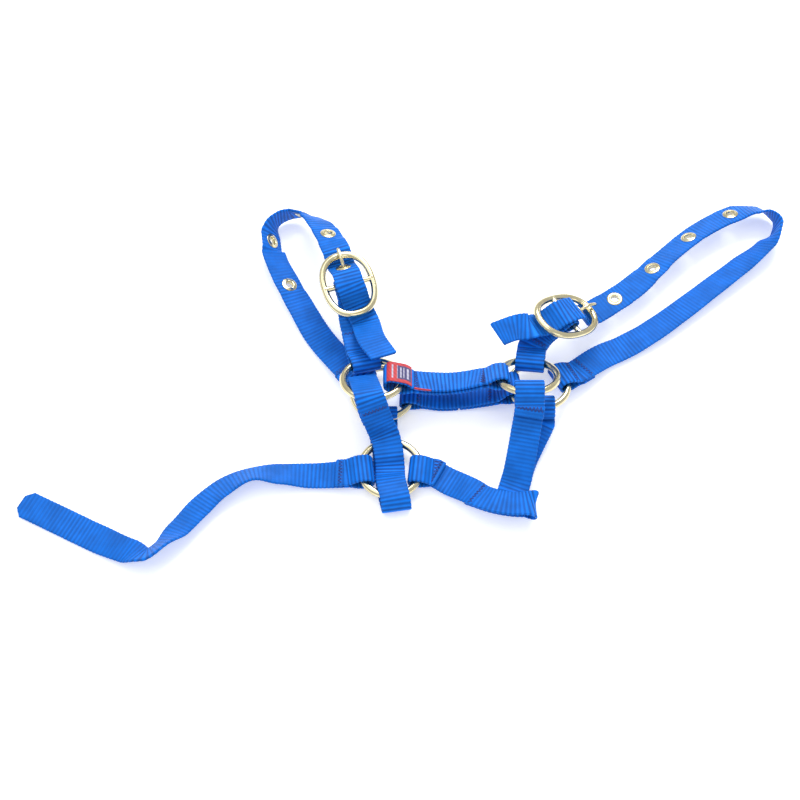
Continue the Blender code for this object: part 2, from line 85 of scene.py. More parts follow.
# ---- sizes and colours a user would change
def length(name, note, default):
    return bpy.props.FloatProperty(name=name, description=note, default=default, min=0.0, unit="LENGTH",
                                   precision=5)


def colour(name, note, default):
    return bpy.props.FloatVectorProperty(name=name, description=note, default=default, size=3,
                                         min=0.0, max=1.0, subtype="COLOR")


class HalterSizes(bpy.types.PropertyGroup):
    webbing_width: length("Webbing width", "Width of every strap", 0.019)
    webbing_thickness: length("Webbing thickness", "Thickness over the ribs", 0.0019)
    rib_pitch: length("Rib pitch", "Distance between two ribs along the webbing", 0.0026)
    rib_depth: length("Rib depth", "Depth of the groove between ribs", 0.0003)
    edge_scallop: length("Edge scallop", "How far the edge dips between ribs", 0.00028)
    yarn_pitch: length("Yarn pitch", "Distance between two lengthwise yarns", 0.00075)
    ring_wire: length("Ring wire", "Wire thickness of the rings", 0.0046)
    frame_wire: length("Frame wire", "Wire thickness of the buckle frames", 0.0046)
    bar_wire: length("Bar wire", "Thickness of the centre bars", 0.0038)
    tongue_wire: length("Tongue wire", "Thickness of the buckle tongues", 0.0022)
    eyelet_flange: length("Eyelet flange", "Outer diameter of the eyelets", 0.0106)
    eyelet_bore: length("Eyelet bore", "Bore of the eyelets", 0.0054)
    thread: length("Thread", "Thickness of the sewing thread", 0.0005)
    stitch: length("Stitch", "Length of one zigzag stitch along the strap", 0.0026)


class HalterColours(bpy.types.PropertyGroup):
    webbing: colour("Webbing", "Nylon on top of the ribs", (0.001, 0.128, 0.56))
    # groove: painted shade, the webbing colour darkened for the shade down between the ribs and between the
    # yarns
    groove: colour("Groove", "Nylon down between the ribs", (0.001, 0.070, 0.33))
    thread: colour("Thread", "Sewing thread", (0.004, 0.034, 0.25))
    brass: colour("Brass", "Polished pale brass plating", (0.72, 0.655, 0.43))
    brass_shade: colour("Brass shade", "Plating where it is handled less", (0.58, 0.48, 0.26))
    label_red: colour("Label ground", "Ground of the woven label", (0.50, 0.012, 0.022))
    label_navy: colour("Label panel", "Panel of the woven label", (0.035, 0.028, 0.14))
    label_pale: colour("Label thread", "Pale thread of the woven label", (0.46, 0.44, 0.56))
    floor: colour("Floor", "Table the halter lies on", (0.93, 0.93, 0.93))


def sizes():
    return bpy.context.scene.halter_sizes


def colours():
    return bpy.context.scene.halter_colours


# ---- small geometry helpers
def vec(x, y, z):
    return Vector((float(x), float(y), float(z)))


def square_to(direction, axis):
    """The part of a direction that stands square to an axis, as a unit."""
    return (direction - axis * direction.dot(axis)).normalized()


def spline(points, step):
    """Smooth stations (place, tangent, across) through (place, width hint) pairs."""
    places = [p for p, w in points]
    hints = []
    for p, w in points:
        unit = w.normalized()
        hints.append(-unit if hints and unit.dot(hints[-1]) < 0 else unit)
    stations = []
    last = len(places) - 1
    for i in range(last):
        p1, p2 = places[i], places[i + 1]
        p0 = places[i - 1] if i > 0 else p1 - (p2 - p1)
        p3 = places[i + 2] if i + 2 <= last else p2 + (p2 - p1)
        span = (p2 - p1).length
        t1 = (p2 - p0) * (span / (span + (p1 - p0).length))
        t2 = (p3 - p1) * (span / ((p3 - p2).length + span))
        count = max(1, math.ceil(span / step - 0.3))
        for k in range(count + (1 if i == last - 1 else 0)):
            u = k / count
            place = (p1 * (2 * u ** 3 - 3 * u ** 2 + 1) + t1 * (u ** 3 - 2 * u ** 2 + u)
                     + p2 * (3 * u ** 2 - 2 * u ** 3) + t2 * (u ** 3 - u ** 2))
            tangent = (p1 * (6 * u ** 2 - 6 * u) + t1 * (3 * u ** 2 - 4 * u + 1)
                       + p2 * (6 * u - 6 * u ** 2) + t2 * (3 * u ** 2 - 2 * u)).normalized()
            ease = u * u * (3 - 2 * u)
            across = square_to(hints[i].lerp(hints[i + 1], ease), tangent)
            stations.append((place, tangent, across))
    return stations


def run_lengths(stations):
    run = [0.0]
    for a, b in zip(stations, stations[1:]):
        run.append(run[-1] + (b[0] - a[0]).length)
    return run


def between(a, b, u):
    tangent = a[1].lerp(b[1], u).normalized()
    return (a[0].lerp(b[0], u), tangent, square_to(a[2].lerp(b[2], u), tangent))


def station_at(stations, distance):
    run = run_lengths(stations)
    for i in range(len(run) - 1):
        if run[i + 1] >= distance:
            return between(stations[i], stations[i + 1], (distance - run[i]) / (run[i + 1] - run[i]))
    return stations[-1]


def evenly(stations, step):
    """The same path with stations at an even step."""
    run = run_lengths(stations)
    count = round(run[-1] / step)
    out = []
    i = 0
    for k in range(count + 1):
        s = run[-1] * k / count
        while i < len(run) - 2 and run[i + 1] < s:
            i += 1
        u = (s - run[i]) / max(run[i + 1] - run[i], 1e-9)
        out.append(between(stations[i], stations[i + 1], min(u, 1.0)))
    return out


def closest(stations, place):
    """Index of the station closest to a place."""
    return min(range(len(stations)), key=lambda i: (stations[i][0] - place).length_squared)


def flatten_round(stations, indices, step):
    """Keep the webbing flat where an eyelet grips it."""
    out = list(stations)
    blend = 3.0
    for index in indices:
        place, tangent, across = stations[index]
        reach = int((EYE_HALF_FLAT + blend) / step) + 1
        for i in range(max(0, index - reach), min(len(out), index + reach + 1)):
            away = (i - index) * step
            flat = (place + tangent * away, tangent, across)
            fade = (abs(away) - EYE_HALF_FLAT) / blend
            out[i] = between(flat, stations[i], min(max(fade, 0.0), 1.0))
    return out


def smooth_object(name, bm, *materials):
    """A finished mesh object from layout millimetres, in the frame's metres."""
    bmesh.ops.recalc_face_normals(bm, faces=bm.faces)
    for v in bm.verts:
        v.co = (v.co - LAYOUT) * MM
    mesh = bpy.data.meshes.new(name)
    bm.to_mesh(mesh)
    bm.free()
    mesh.shade_smooth()
    for mat in materials:
        mesh.materials.append(mat)
    obj = bpy.data.objects.new(name, mesh)
    bpy.context.scene.collection.objects.link(obj)
    return obj


def cut(target, tool, operation="DIFFERENCE"):
    mod = target.modifiers.new("cut", "BOOLEAN")
    mod.operation = operation
    mod.solver = "EXACT"
    mod.object = tool
    bpy.context.view_layer.update()
    done = target.evaluated_get(bpy.context.evaluated_depsgraph_get())
    mesh = bpy.data.meshes.new_from_object(done)
    target.modifiers.clear()
    target.data = mesh
    bpy.data.objects.remove(tool, do_unlink=True)


def skin(bm, rows, closed=False):
    """Faces between a run of sections, capped at both ends unless it closes on itself."""
    count = len(rows[0])
    for r0, r1 in zip(rows, rows[1:] + rows[:1] if closed else rows[1:]):
        for k in range(count):
            bm.faces.new((r0[k], r0[(k + 1) % count], r1[(k + 1) % count], r1[k]))
    if not closed:
        bm.faces.new(rows[0])
        bm.faces.new(rows[-1])


def tube(bm, places, radii, sides, side_axis, closed=False, squash=1.0):
    """A round rod along a flat path; side_axis is square to the path's plane."""
    rows = []
    n = len(places)
    for i, place in enumerate(places):
        before = places[(i - 1) % n] if closed or i > 0 else place
        after = places[(i + 1) % n] if closed or i < n - 1 else place
        tangent = (after - before).normalized()
        out = side_axis.cross(tangent).normalized()
        row = []
        for k in range(sides):
            a = 2 * math.pi * k / sides
            row.append(bm.verts.new(place + out * (math.cos(a) * radii[i])
                                    + side_axis * (math.sin(a) * radii[i] * squash)))
        rows.append(row)
    skin(bm, rows, closed)


# ---- shader groups and materials
def link_nodes(tree, source, output, target, socket):
    tree.links.new(source.outputs[output], target.inputs[socket])


def math_node(tree, operation, *values):
    node = tree.nodes.new("ShaderNodeMath")
    node.operation = operation
    for i, value in enumerate(values):
        if isinstance(value, bpy.types.NodeSocket):
            tree.links.new(value, node.inputs[i])
        else:
            node.inputs[i].default_value = value
    return node.outputs[0]


def mix_colour(tree, factor, first, second):
    node = tree.nodes.new("ShaderNodeMix")
    node.data_type = "RGBA"
    for socket, value in ((node.inputs[0], factor), (node.inputs[6], first), (node.inputs[7], second)):
        if isinstance(value, bpy.types.NodeSocket):
            tree.links.new(value, socket)
        else:
            socket.default_value = value
    return node.outputs[2]


def noise_node(tree, vector, scale, detail, roughness=0.5):
    node = tree.nodes.new("ShaderNodeTexNoise")
    tree.links.new(vector, node.inputs["Vector"])
    node.inputs["Scale"].default_value = scale
    node.inputs["Detail"].default_value = detail
    node.inputs["Roughness"].default_value = roughness
    return node.outputs[0]


def remap(tree, value, low, high, to_low, to_high):
    node = tree.nodes.new("ShaderNodeMapRange")
    node.clamp = True
    tree.links.new(value, node.inputs[0])
    for i, number in enumerate((low, high, to_low, to_high)):
        node.inputs[i + 1].default_value = number
    return node.outputs[0]


def new_group(name, inputs, outputs):
    """An empty shader group with named sockets."""
    tree = bpy.data.node_groups.new(name, "ShaderNodeTree")
    for label, kind, default in inputs:
        socket = tree.interface.new_socket(label, in_out="INPUT", socket_type=kind)
        if default is not None:
            socket.default_value = default
    for label, kind in outputs:
        tree.interface.new_socket(label, in_out="OUTPUT", socket_type=kind)
    start = tree.nodes.new("NodeGroupInput")
    end = tree.nodes.new("NodeGroupOutput")
    return tree, start, end


def ribbed_weave_group():
    """Ribs across the webbing and fine yarns along it, from the strap's own place in mm, with painted shade
    down in the rib grooves and between the yarns and a painted highlight on the rib crests.
    """
    tree, start, end = new_group(
        "Ribbed weave",
        (("Strap Place", "NodeSocketVector", None), ("Rib Pitch", "NodeSocketFloat", 2.6),
         ("Yarn Pitch", "NodeSocketFloat", 0.75), ("Crown Colour", "NodeSocketColor", (1, 1, 1, 1)),
         ("Groove Colour", "NodeSocketColor", (0, 0, 0, 1)), ("Fade", "NodeSocketFloat", 0.12)),
        (("Colour", "NodeSocketColor"), ("Roughness", "NodeSocketFloat"), ("Height", "NodeSocketFloat")))
    place = start.outputs["Strap Place"]
    split = tree.nodes.new("ShaderNodeSeparateXYZ")
    tree.links.new(place, split.inputs[0])
    rib = math_node(tree, "DIVIDE", split.outputs[1], start.outputs["Rib Pitch"])
    swell = math_node(tree, "COSINE", math_node(tree, "MULTIPLY", rib, 2 * math.pi))
    # crest_highlight: mask of the painted highlight on the rib crests, stronger where the ribs lie open
    crest_highlight = math_node(tree, "MULTIPLY", remap(tree, swell, 0.1, -1.0, 0.0, 1.0), split.outputs[2])
    # groove: how far down a rib groove this is; it mixes in the painted groove shade and also shapes the
    # bump
    groove = remap(tree, swell, 0.2, 1.0, 0.0, 0.85)
    groove = math_node(tree, "MULTIPLY", groove, split.outputs[2])
    swell = math_node(tree, "SUBTRACT", 1.0, groove)
    odd = math_node(tree, "MULTIPLY", math_node(tree, "FLOOR", rib), 0.5)
    yarn = math_node(tree, "DIVIDE", split.outputs[0], start.outputs["Yarn Pitch"])
    yarn = math_node(tree, "MULTIPLY", math_node(tree, "ADD", yarn, odd), 2 * math.pi)
    strand = remap(tree, math_node(tree, "SINE", yarn), -1.0, 1.0, 0.0, 1.0)
    fuzz = noise_node(tree, place, 3.2, 3.0, 0.6)
    patches = noise_node(tree, place, 0.09, 2.0)
    tone = mix_colour(tree, swell, start.outputs["Groove Colour"], start.outputs["Crown Colour"])
    # painted shade down between the lengthwise yarns
    strand_shade = math_node(tree, "MULTIPLY", math_node(tree, "SUBTRACT", 1.0, strand),
                             start.outputs["Fade"])
    tone = mix_colour(tree, strand_shade, tone, start.outputs["Groove Colour"])
    light = remap(tree, patches, 0.3, 0.7, 0.86, 1.14)
    light = math_node(tree, "MULTIPLY", light, remap(tree, fuzz, 0.2, 0.8, 0.9, 1.1))
    # painted highlight: rib crests brightened up to half again
    light = math_node(tree, "MULTIPLY", light, remap(tree, crest_highlight, 0.0, 1.0, 0.97, 1.5))
    scale = tree.nodes.new("ShaderNodeVectorMath")
    scale.operation = "SCALE"
    tree.links.new(tone, scale.inputs[0])
    tree.links.new(light, scale.inputs["Scale"])
    tree.links.new(scale.outputs[0], end.inputs["Colour"])
    tree.links.new(remap(tree, fuzz, 0.2, 0.8, 0.42, 0.6), end.inputs["Roughness"])
    height = math_node(tree, "MULTIPLY", strand, math_node(tree, "ADD", swell, 0.35))
    height = math_node(tree, "ADD", height, math_node(tree, "MULTIPLY", fuzz, 0.35))
    tree.links.new(height, end.inputs["Height"])
    return tree


def handled_metal_group():
    """Soft colour change, fine scratches and dull patches of handled plating."""
    tree, start, end = new_group(
        "Handled metal",
        (("Colour", "NodeSocketColor", (1, 1, 1, 1)), ("Shade Colour", "NodeSocketColor", (1, 1, 1, 1)),
         ("Polish", "NodeSocketFloat", 0.12)),
        (("Colour", "NodeSocketColor"), ("Roughness", "NodeSocketFloat"), ("Height", "NodeSocketFloat")))
    coords = tree.nodes.new("ShaderNodeTexCoord")
    place = coords.outputs["Object"]
    broad = noise_node(tree, place, 90.0, 3.0)
    fine = noise_node(tree, place, 900.0, 4.0, 0.65)
    tone = mix_colour(tree, remap(tree, broad, 0.35, 0.75, 0.0, 0.75),
                      start.outputs["Colour"], start.outputs["Shade Colour"])
    tree.links.new(tone, end.inputs["Colour"])
    rough = math_node(tree, "ADD", start.outputs["Polish"], remap(tree, fine, 0.35, 0.8, 0.0, 0.16))
    tree.links.new(rough, end.inputs["Roughness"])
    tree.links.new(math_node(tree, "ADD", broad, math_node(tree, "MULTIPLY", fine, 0.15)),
                   end.inputs["Height"])
    return tree


def thread_group():
    """Twisted thread: fine diagonal plies with painted shade down between them, and a little random tone
    change.
    """
    tree, start, end = new_group(
        "Twisted thread",
        (("Colour", "NodeSocketColor", (1, 1, 1, 1)), ("Ply Scale", "NodeSocketFloat", 2600.0)),
        (("Colour", "NodeSocketColor"), ("Roughness", "NodeSocketFloat"), ("Height", "NodeSocketFloat")))
    coords = tree.nodes.new("ShaderNodeTexCoord")
    split = tree.nodes.new("ShaderNodeSeparateXYZ")
    tree.links.new(coords.outputs["Object"], split.inputs[0])
    slant = math_node(tree, "ADD", split.outputs[0], split.outputs[1])
    slant = math_node(tree, "ADD", slant, split.outputs[2])
    ply = math_node(tree, "SINE", math_node(tree, "MULTIPLY", slant, start.outputs["Ply Scale"]))
    ply = remap(tree, ply, -1.0, 1.0, 0.0, 1.0)
    tone = noise_node(tree, coords.outputs["Object"], 320.0, 2.0)
    # painted shade: colour darkened in the hollows between the plies, times a random tone change
    shade = math_node(tree, "MULTIPLY", remap(tree, ply, 0.0, 1.0, 0.78, 1.08),
                      remap(tree, tone, 0.3, 0.7, 0.85, 1.12))
    scale = tree.nodes.new("ShaderNodeVectorMath")
    scale.operation = "SCALE"
    tree.links.new(start.outputs["Colour"], scale.inputs[0])
    tree.links.new(shade, scale.inputs["Scale"])
    tree.links.new(scale.outputs[0], end.inputs["Colour"])
    tree.links.new(remap(tree, tone, 0.3, 0.7, 0.45, 0.62), end.inputs["Roughness"])
    tree.links.new(ply, end.inputs["Height"])
    return tree


def group_named(name, maker):
    return bpy.data.node_groups.get(name) or maker()


def shader_with(name, group, values, bump, **fixed):
    """A Principled material fed by one shader group, with plain values on its own sockets."""
    mat = bpy.data.materials.get(name)
    if mat:
        return mat
    mat = bpy.data.materials.new(name)
    mat.use_nodes = True
    tree = mat.node_tree
    shader = tree.nodes["Principled BSDF"]
    feed = tree.nodes.new("ShaderNodeGroup")
    feed.node_tree = group
    for socket, value in values.items():
        feed.inputs[socket].default_value = value
    link_nodes(tree, feed, "Colour", shader, "Base Color")
    link_nodes(tree, feed, "Roughness", shader, "Roughness")
    relief = tree.nodes.new("ShaderNodeBump")
    relief.inputs["Strength"].default_value = bump[0]
    relief.inputs["Distance"].default_value = bump[1]
    link_nodes(tree, feed, "Height", relief, "Height")
    link_nodes(tree, relief, "Normal", shader, "Normal")
    for socket, value in fixed.items():
        shader.inputs[socket.replace("_", " ")].default_value = value
    return mat


def webbing_material():
    c, s = colours(), sizes()
    mat = shader_with("nylon webbing", group_named("Ribbed weave", ribbed_weave_group),
                      {"Rib Pitch": s.rib_pitch / MM, "Yarn Pitch": s.yarn_pitch / MM,
                       "Crown Colour": (*c.webbing, 1), "Groove Colour": (*c.groove, 1), "Fade": 0.3},
                      (0.5, 0.00012), Sheen_Weight=0.08, Sheen_Roughness=0.4, Specular_IOR_Level=0.16,
                      Sheen_Tint=(0.3, 0.7, 1.0, 1))
    tree = mat.node_tree
    if "strap place" not in tree.nodes:
        place = tree.nodes.new("ShaderNodeAttribute")
        place.name = "strap place"
        place.attribute_name = "strap_place"
        feed = next(n for n in tree.nodes if n.type == "GROUP")
        link_nodes(tree, place, "Vector", feed, "Strap Place")
    return mat


def brass_material():
    c = colours()
    return shader_with("pale brass", group_named("Handled metal", handled_metal_group),
                       {"Colour": (*c.brass, 1), "Shade Colour": (*c.brass_shade, 1), "Polish": 0.13},
                       (0.12, 0.0003), Metallic=1.0)


def thread_material(name, tone):
    return shader_with(name, group_named("Twisted thread", thread_group),
                       {"Colour": (*tone, 1)}, (0.4, 0.0001), Sheen_Weight=0.15)


# ---- rings, buckles and the ways webbing goes round them
RING_R = (RING_OD - RING_WIRE) / 2
SAG = RING_R - math.sqrt(RING_R ** 2 - HALF_WEB ** 2)
RING_BEND = 4.1         # radius of webbing folded round a ring's wire
STEEP_BEND = 4.65       # where it leaves at an angle to the ring
SWING_BEND = 4.95       # where it swings round the ring
BAR_BEND = 3.5
RING_SLACK = SAG / 2 + 0.2
UP = vec(0, 0, 1)


class Ring:
    """A round ring where its joint puts it."""

    def __init__(self, name):
        joint = JOINTS[name + "_spin"]
        self.name = name
        self.centre = Vector(joint["pos_m"]) / MM + LAYOUT
        self.axis = Vector(joint["axis"]).normalized()

    def hold(self, towards, away):
        """Centre of a fold round the wire, the way the webbing leaves, and its width."""
        out = square_to(vec(*towards), self.axis)
        across = self.axis.cross(out)
        return self.centre + out * (RING_R - SAG / 2), square_to(vec(*away), across), across


class Buckle:
    """An oval frame with a centre bar, where its joint puts it."""

    def __init__(self, name, along):
        joint = JOINTS[name + "_rock"]
        self.name = name
        self.centre = Vector(joint["pos_m"]) / MM + LAYOUT
        self.along = vec(*along).normalized()
        self.face = square_to(UP, self.along)
        self.across = self.face.cross(self.along)

    def at(self, u, w, v):
        return self.centre + self.along * u + self.across * w + self.face * v

    def hold(self):
        return self.centre, (self.along * -0.85 - self.face * 0.53).normalized(), self.across

    def through(self, shift):
        """Strap points through the buckle, entering by the tongue's end."""
        going_in = [(29, -4.0), (23, -4.7), (18.6, -4.9), (15.1, -3.1), (6.9, 5.1), (3, 6.4), (-3, 6.2)]
        going_out = [(-7.5, 3.9), (-12, -1.5), (-16.2, -4.9), (-21.7, -5.2), (-27, -5.2)]
        points = [(self.at(u, 0, v), self.across) for u, v in going_in]
        for i, (u, v) in enumerate(going_out):
            points.append((self.at(u, shift * (i + 1) / len(going_out), v), self.across))
        return points


NOSE_NEAR = Ring("nose_ring_near")
NOSE_FAR = Ring("nose_ring_far")
CHEEK_NEAR = Ring("cheek_ring_near")
CHEEK_FAR = Ring("cheek_ring_far")
CHIN = Ring("chin_ring")
NOSE_BUCKLE = Buckle("nose_buckle", (-0.30, 0.93, 0.16))
CROWN_BUCKLE = Buckle("crown_buckle", (0.8, 0.5, -0.4))


class Fold:
    """Webbing round a wire. Its two layers leave side by side; offsets are
    measured from the line between them, and it runs past the wire by its slack."""

    def __init__(self, hold, up=(0, 0, 1), bend=RING_BEND, slack=RING_SLACK):
        self.place, self.leave, self.across = hold
        self.face = self.across.cross(self.leave)
        if self.face.dot(vec(*up)) < 0:
            self.face = -self.face
        self.bend = bend
        self.slack = slack
        self.settled = bend + 6.0    # the layers lie on each other from here on

    def at(self, u, v):
        return (self.place + self.leave * u + self.face * v, self.across)

    def turn(self, side, free=100.0):
        """Points round the wire; side 1 starts on the upper layer, -1 on the lower.
        The layers close up along an eased curve. free cuts the starting layer."""
        bend, m = self.bend, LAYER / 2
        leg = []
        for t in (0.8, 0.6, 0.4, 0.2, 0.0):
            ease = t * t * (3 - 2 * t)
            u = bend * 0.3 + (self.settled - bend * 0.3) * t
            leg.append((u, m + (bend * 0.98 - m) * (1 - ease)))
        arc = []
        for k in range(9):
            a = math.radians(90 + 22.5 * k)
            arc.append((bend * math.cos(a) - self.slack, bend * math.sin(a)))
        if not self.slack:
            arc = arc[1:-1]
        path = [(u, v) for u, v in leg if u < free] + arc + [(u, -v) for u, v in reversed(leg)]
        return [self.at(u, v * side) for u, v in path]


def folded(fold, free, after, free_on_top=False):
    """A single strap from its free end, round a wire and on through the points
    after it. The free end lies on the working layer and follows it."""
    side = 1.0 if free_on_top else -1.0
    m = LAYER / 2
    start = fold.at(fold.settled - 4.0, -m * side)
    working = fold.at(fold.settled, -m * side)
    under = spline([start, working] + after[:3], 2.0)
    points = []
    for u in (free, fold.settled + 3.0, fold.settled):
        if u > free or u == free < fold.settled + 3.5:
            continue
        place, tangent, across = station_at(under, u - fold.settled + 4.0)
        face = across.cross(tangent).normalized()
        if face.dot(fold.face) < 0:
            face = -face
        points.append((place + face * (SEWN * side), across))
    return points + fold.turn(side, free) + [working] + after


def doubled(first, second, mids, pitch=SEWN):
    """One length of webbing folded round two wires and sewn back to itself.
    Both layers keep the same distance from one centre line; mids are its
    (place, width) points between the two folds."""
    line = [first.at(first.settled - 5.0, 0), first.at(first.settled, 0)] + mids
    line += [second.at(second.settled, 0), second.at(second.settled - 5.0, 0)]
    upper, lower = [], []
    for place, tangent, across in spline(line, LAYER_STEP)[1:-1]:
        face = across.cross(tangent).normalized() * (pitch / 2)
        if face.dot(first.face) < 0:
            face = -face
        upper.append((place + face, across))
        lower.append((place - face, across))
    k = len(lower) // 2
    here, width = lower[k]
    step = (lower[k + 1][0] - here).normalized() * (BUTT_GAP / 2)
    points = [(here + step, width)] + lower[k + 1:] + second.turn(-1)
    return points + upper[::-1] + first.turn(1) + lower[:k] + [(here - step, width)]


# ---- the routes of the straps
def nose_route():
    # far ring, up and round the nose, then down through its buckle
    pts = [(vec(-54, 47.5, 2.0), vec(-8, -6, 0)), (vec(-67, 71, 3.4), vec(-8, -5, 2)),
            (vec(-77, 90, 5.2), vec(-8, -3.5, 3.5)), (vec(-86, 110, 7.4), vec(-8, -1.5, 5)),
            (vec(-89, 127, 9.5), vec(-5, 0, 8)), (vec(-85, 139, 10.3), vec(-1, -2, 9)),
            (vec(-74, 143, 11.5), vec(-1, -3, 9)), (vec(-62, 136, 17), vec(-6, -4, 7)),
            (vec(-53, 123, 23.5), vec(-8, -4, 4))]
    pts += NOSE_BUCKLE.through(-3.4)
    pts += [(vec(-18.5, 30, 27.5), vec(8, 3.6, -1.2)), (vec(-10, 14.5, 31), vec(8, 4, -2))]
    ring = Fold(NOSE_FAR.hold((-0.8, 0.6, 0), (-0.8, 0.6, 0)))
    return folded(ring, 14, pts)


def nose_mount_route():
    b = NOSE_BUCKLE
    mids = [(b.at(-18, 2.5, -9.7), b.across)]
    ring = Fold(NOSE_NEAR.hold((-0.3, 1, 0), (-0.3, 1, -0.1)), (0, 0, 1), RING_BEND + 0.15)
    bar = Fold(b.hold(), b.face, BAR_BEND, 0.0)
    return doubled(bar, ring, mids)


def crown_route():
    # far ring, out round the poll, back down through its buckle
    pts = [(vec(134, 31, 3.6), vec(6, -8, 0)), (vec(149, 39, 2.6), vec(6, -8, 1)),
            (vec(167, 50, 3.6), vec(6, -8, 2.2)), (vec(188, 66, 4.2), vec(6, -8, 3)),
            (vec(210, 84, 5.2), vec(6, -8, 4)), (vec(232, 102, 6.2), vec(6, -8, 5)),
            (vec(252, 119, 8.2), vec(5, -6, 7)), (vec(261, 131, 9.8), vec(2, -1, 9)),
            (vec(259, 142, 10.5), vec(-1, -3, 8)), (vec(248, 146.5, 11), vec(0, -7, 6)),
            (vec(231, 142, 12), vec(3, -9, 4)), (vec(206, 127, 12.5), vec(5, -8, 4.5)),
            (vec(184, 108, 12.5), vec(6, -7, 5)), (vec(156, 80, 12), vec(6, -8, 1.5))]
    pts += CROWN_BUCKLE.through(3.2)
    pts += [(vec(75, 37, 30), vec(-3, 9, 0)), (vec(61, 34, 25), vec(-3.5, 9, 0))]
    ring = Fold(CHEEK_FAR.hold((1, 0.45, 0), (1, 0.5, -0.15)))
    return folded(ring, 20, pts)


def crown_mount_route():
    b = CROWN_BUCKLE
    mids = [(vec(92.9, 38.3, 21.3), vec(-0.74, 0.67, 0))]
    ring = Fold(CHEEK_NEAR.hold((0.15, 1, 0), (0.15, 1, 0.05)), (0, 0, 1), STEEP_BEND)
    bar = Fold(b.hold(), b.face, BAR_BEND, 0.0)
    return doubled(bar, ring, mids, SEWN + 0.25)


def nose_end_of_cheek():
    return Fold(NOSE_NEAR.hold((1, 0, 0), (1, 0, -0.25)), (0, 0, 1), RING_BEND, 6.5)


def cheek_near_route():
    right = Fold(CHEEK_NEAR.hold((-1, -0.03, 0), (-1, 0, -0.12)))
    mids = [(vec(20, 1.4, 19.2), vec(0, 1, -0.34)), (vec(32, 1.8, 18.2), vec(0, 1, -0.38)),
            (vec(44, 2.4, 20.2), vec(0, 1, -0.44))]
    return doubled(nose_end_of_cheek(), right, mids)


def cheek_far_route():
    left = Fold(NOSE_FAR.hold((1, -0.04, 0), (1, 0, -0.15)), (0, 0, 1), RING_BEND, 1.8)
    right = Fold(CHEEK_FAR.hold((-1, -0.12, 0), (-1, -0.05, -0.3)), (0, 0, 1), STEEP_BEND)
    mids = [(vec(26, 0.2, 3.1), vec(0, 1, 0)), (vec(38, 0.7, 3.1), vec(0, 1, 0)),
            (vec(50, 1.2, 4.4), vec(0, 1, -0.1))]
    return doubled(left, right, mids)


def chin_route():
    # a slack loop over the near ring's front wire, then down through the chin ring
    across = vec(1, 0.15, 0)
    skew = vec(1, 0.22, -0.08)
    pts = [(vec(-14.4, -26.4, 19.2), skew), (vec(-17.4, -20.6, 23.0), skew), (vec(-19.4, -14.6, 24.9), skew),
           (vec(-21.8, -6.5, 21.5), skew), (vec(-23.8, 0.3, 18.0), skew), (vec(-24.8, 4.4, 17.6), skew),
           (vec(-25, 5.3, 20.0), skew), (vec(-24.4, 3.0, 23.9), skew), (vec(-22.1, -6.6, 30.9), skew),
           (vec(-19.9, -15.2, 35.2), skew), (vec(-18.3, -19.8, 34.2), skew), (vec(-16.0, -24.4, 28.2), skew),
           (vec(-13.0, -29.4, 20.0), skew), (vec(-9.6, -33.6, 12.9), across),
           (vec(-7.9, -39.5, 10.2), across),
           (vec(-6.9, -46, 8.4), across), (vec(-6.4, -50.5, 5.4), across), (vec(-6.2, -54, 4.5), across),
           (vec(-6.2, -57.5, 5.4), across), (vec(-6, -62, 8.4), across), (vec(-5, -67.5, 10.1), across),
           (vec(-2.8, -77.5, 10.1), across), (vec(-2, -82.7, 5.6), across), (vec(-2.8, -78, 1.5), across),
           (vec(-5, -68, 1.3), across), (vec(-7.6, -50, 1.3), across), (vec(-8.6, -37, 1.3), across)]
    far = Fold(NOSE_FAR.hold((0.02, -1, 0), (0, -1, -0.1)), (0, 0, 1), STEEP_BEND)
    return folded(far, 5, pts[::-1], True)[::-1]


def throat_route():
    across = vec(1, -0.1, 0)
    pts = [(vec(79, -38, 20.5), across), (vec(75.5, -55, 13), across), (vec(73, -65, 8.3), across),
           (vec(70.4, -72, 7.3), across), (vec(68.6, -80, 9.5), across), (vec(68.2, -84, 10.6), across),
           (vec(68.1, -86, 9.9), across), (vec(68.2, -84.2, 8.0), across), (vec(68.6, -80, 6.9), across),
           (vec(70.4, -71, 4.5), across), (vec(73, -62, 2.9), across), (vec(79, -45, 4.2), across)]
    near = Fold(CHEEK_NEAR.hold((0, -1, 0), (-0.1, -0.9, -0.25)), (0, 0, 1), STEEP_BEND + 0.2)
    far = Fold(CHEEK_FAR.hold((0.01, -1, 0), (-0.2, -0.9, -0.25)), (0, 0, 1), STEEP_BEND)
    return folded(near, 17, folded(far, 9, pts[::-1], True)[::-1], True)


def jowl_route():
    flat = vec(0.3, 1, 0)
    lean = vec(0.1, 1, -0.28)
    pts = [(vec(32, -62.5, 4.2), flat), (vec(43, -69.5, 7.4), vec(0.3, 1, -0.1)),
            (vec(52, -76, 10.4), lean), (vec(61, -80, 12.5), lean), (vec(71, -81.7, 12.8), lean),
            (vec(80.3, -81.5, 12.4), lean), (vec(84, -80.5, 8.2), lean), (vec(80.3, -79, 4.1), lean),
            (vec(71, -78.5, 3.7), lean), (vec(60, -76.5, 3.7), lean), (vec(50, -73, 3.8), lean),
            (vec(44, -70, 3.8), vec(0.3, 1, -0.2))]
    return folded(Fold(CHIN.hold((1, -0.1, 0), (1, -0.2, -0.05))), 14, pts, True)


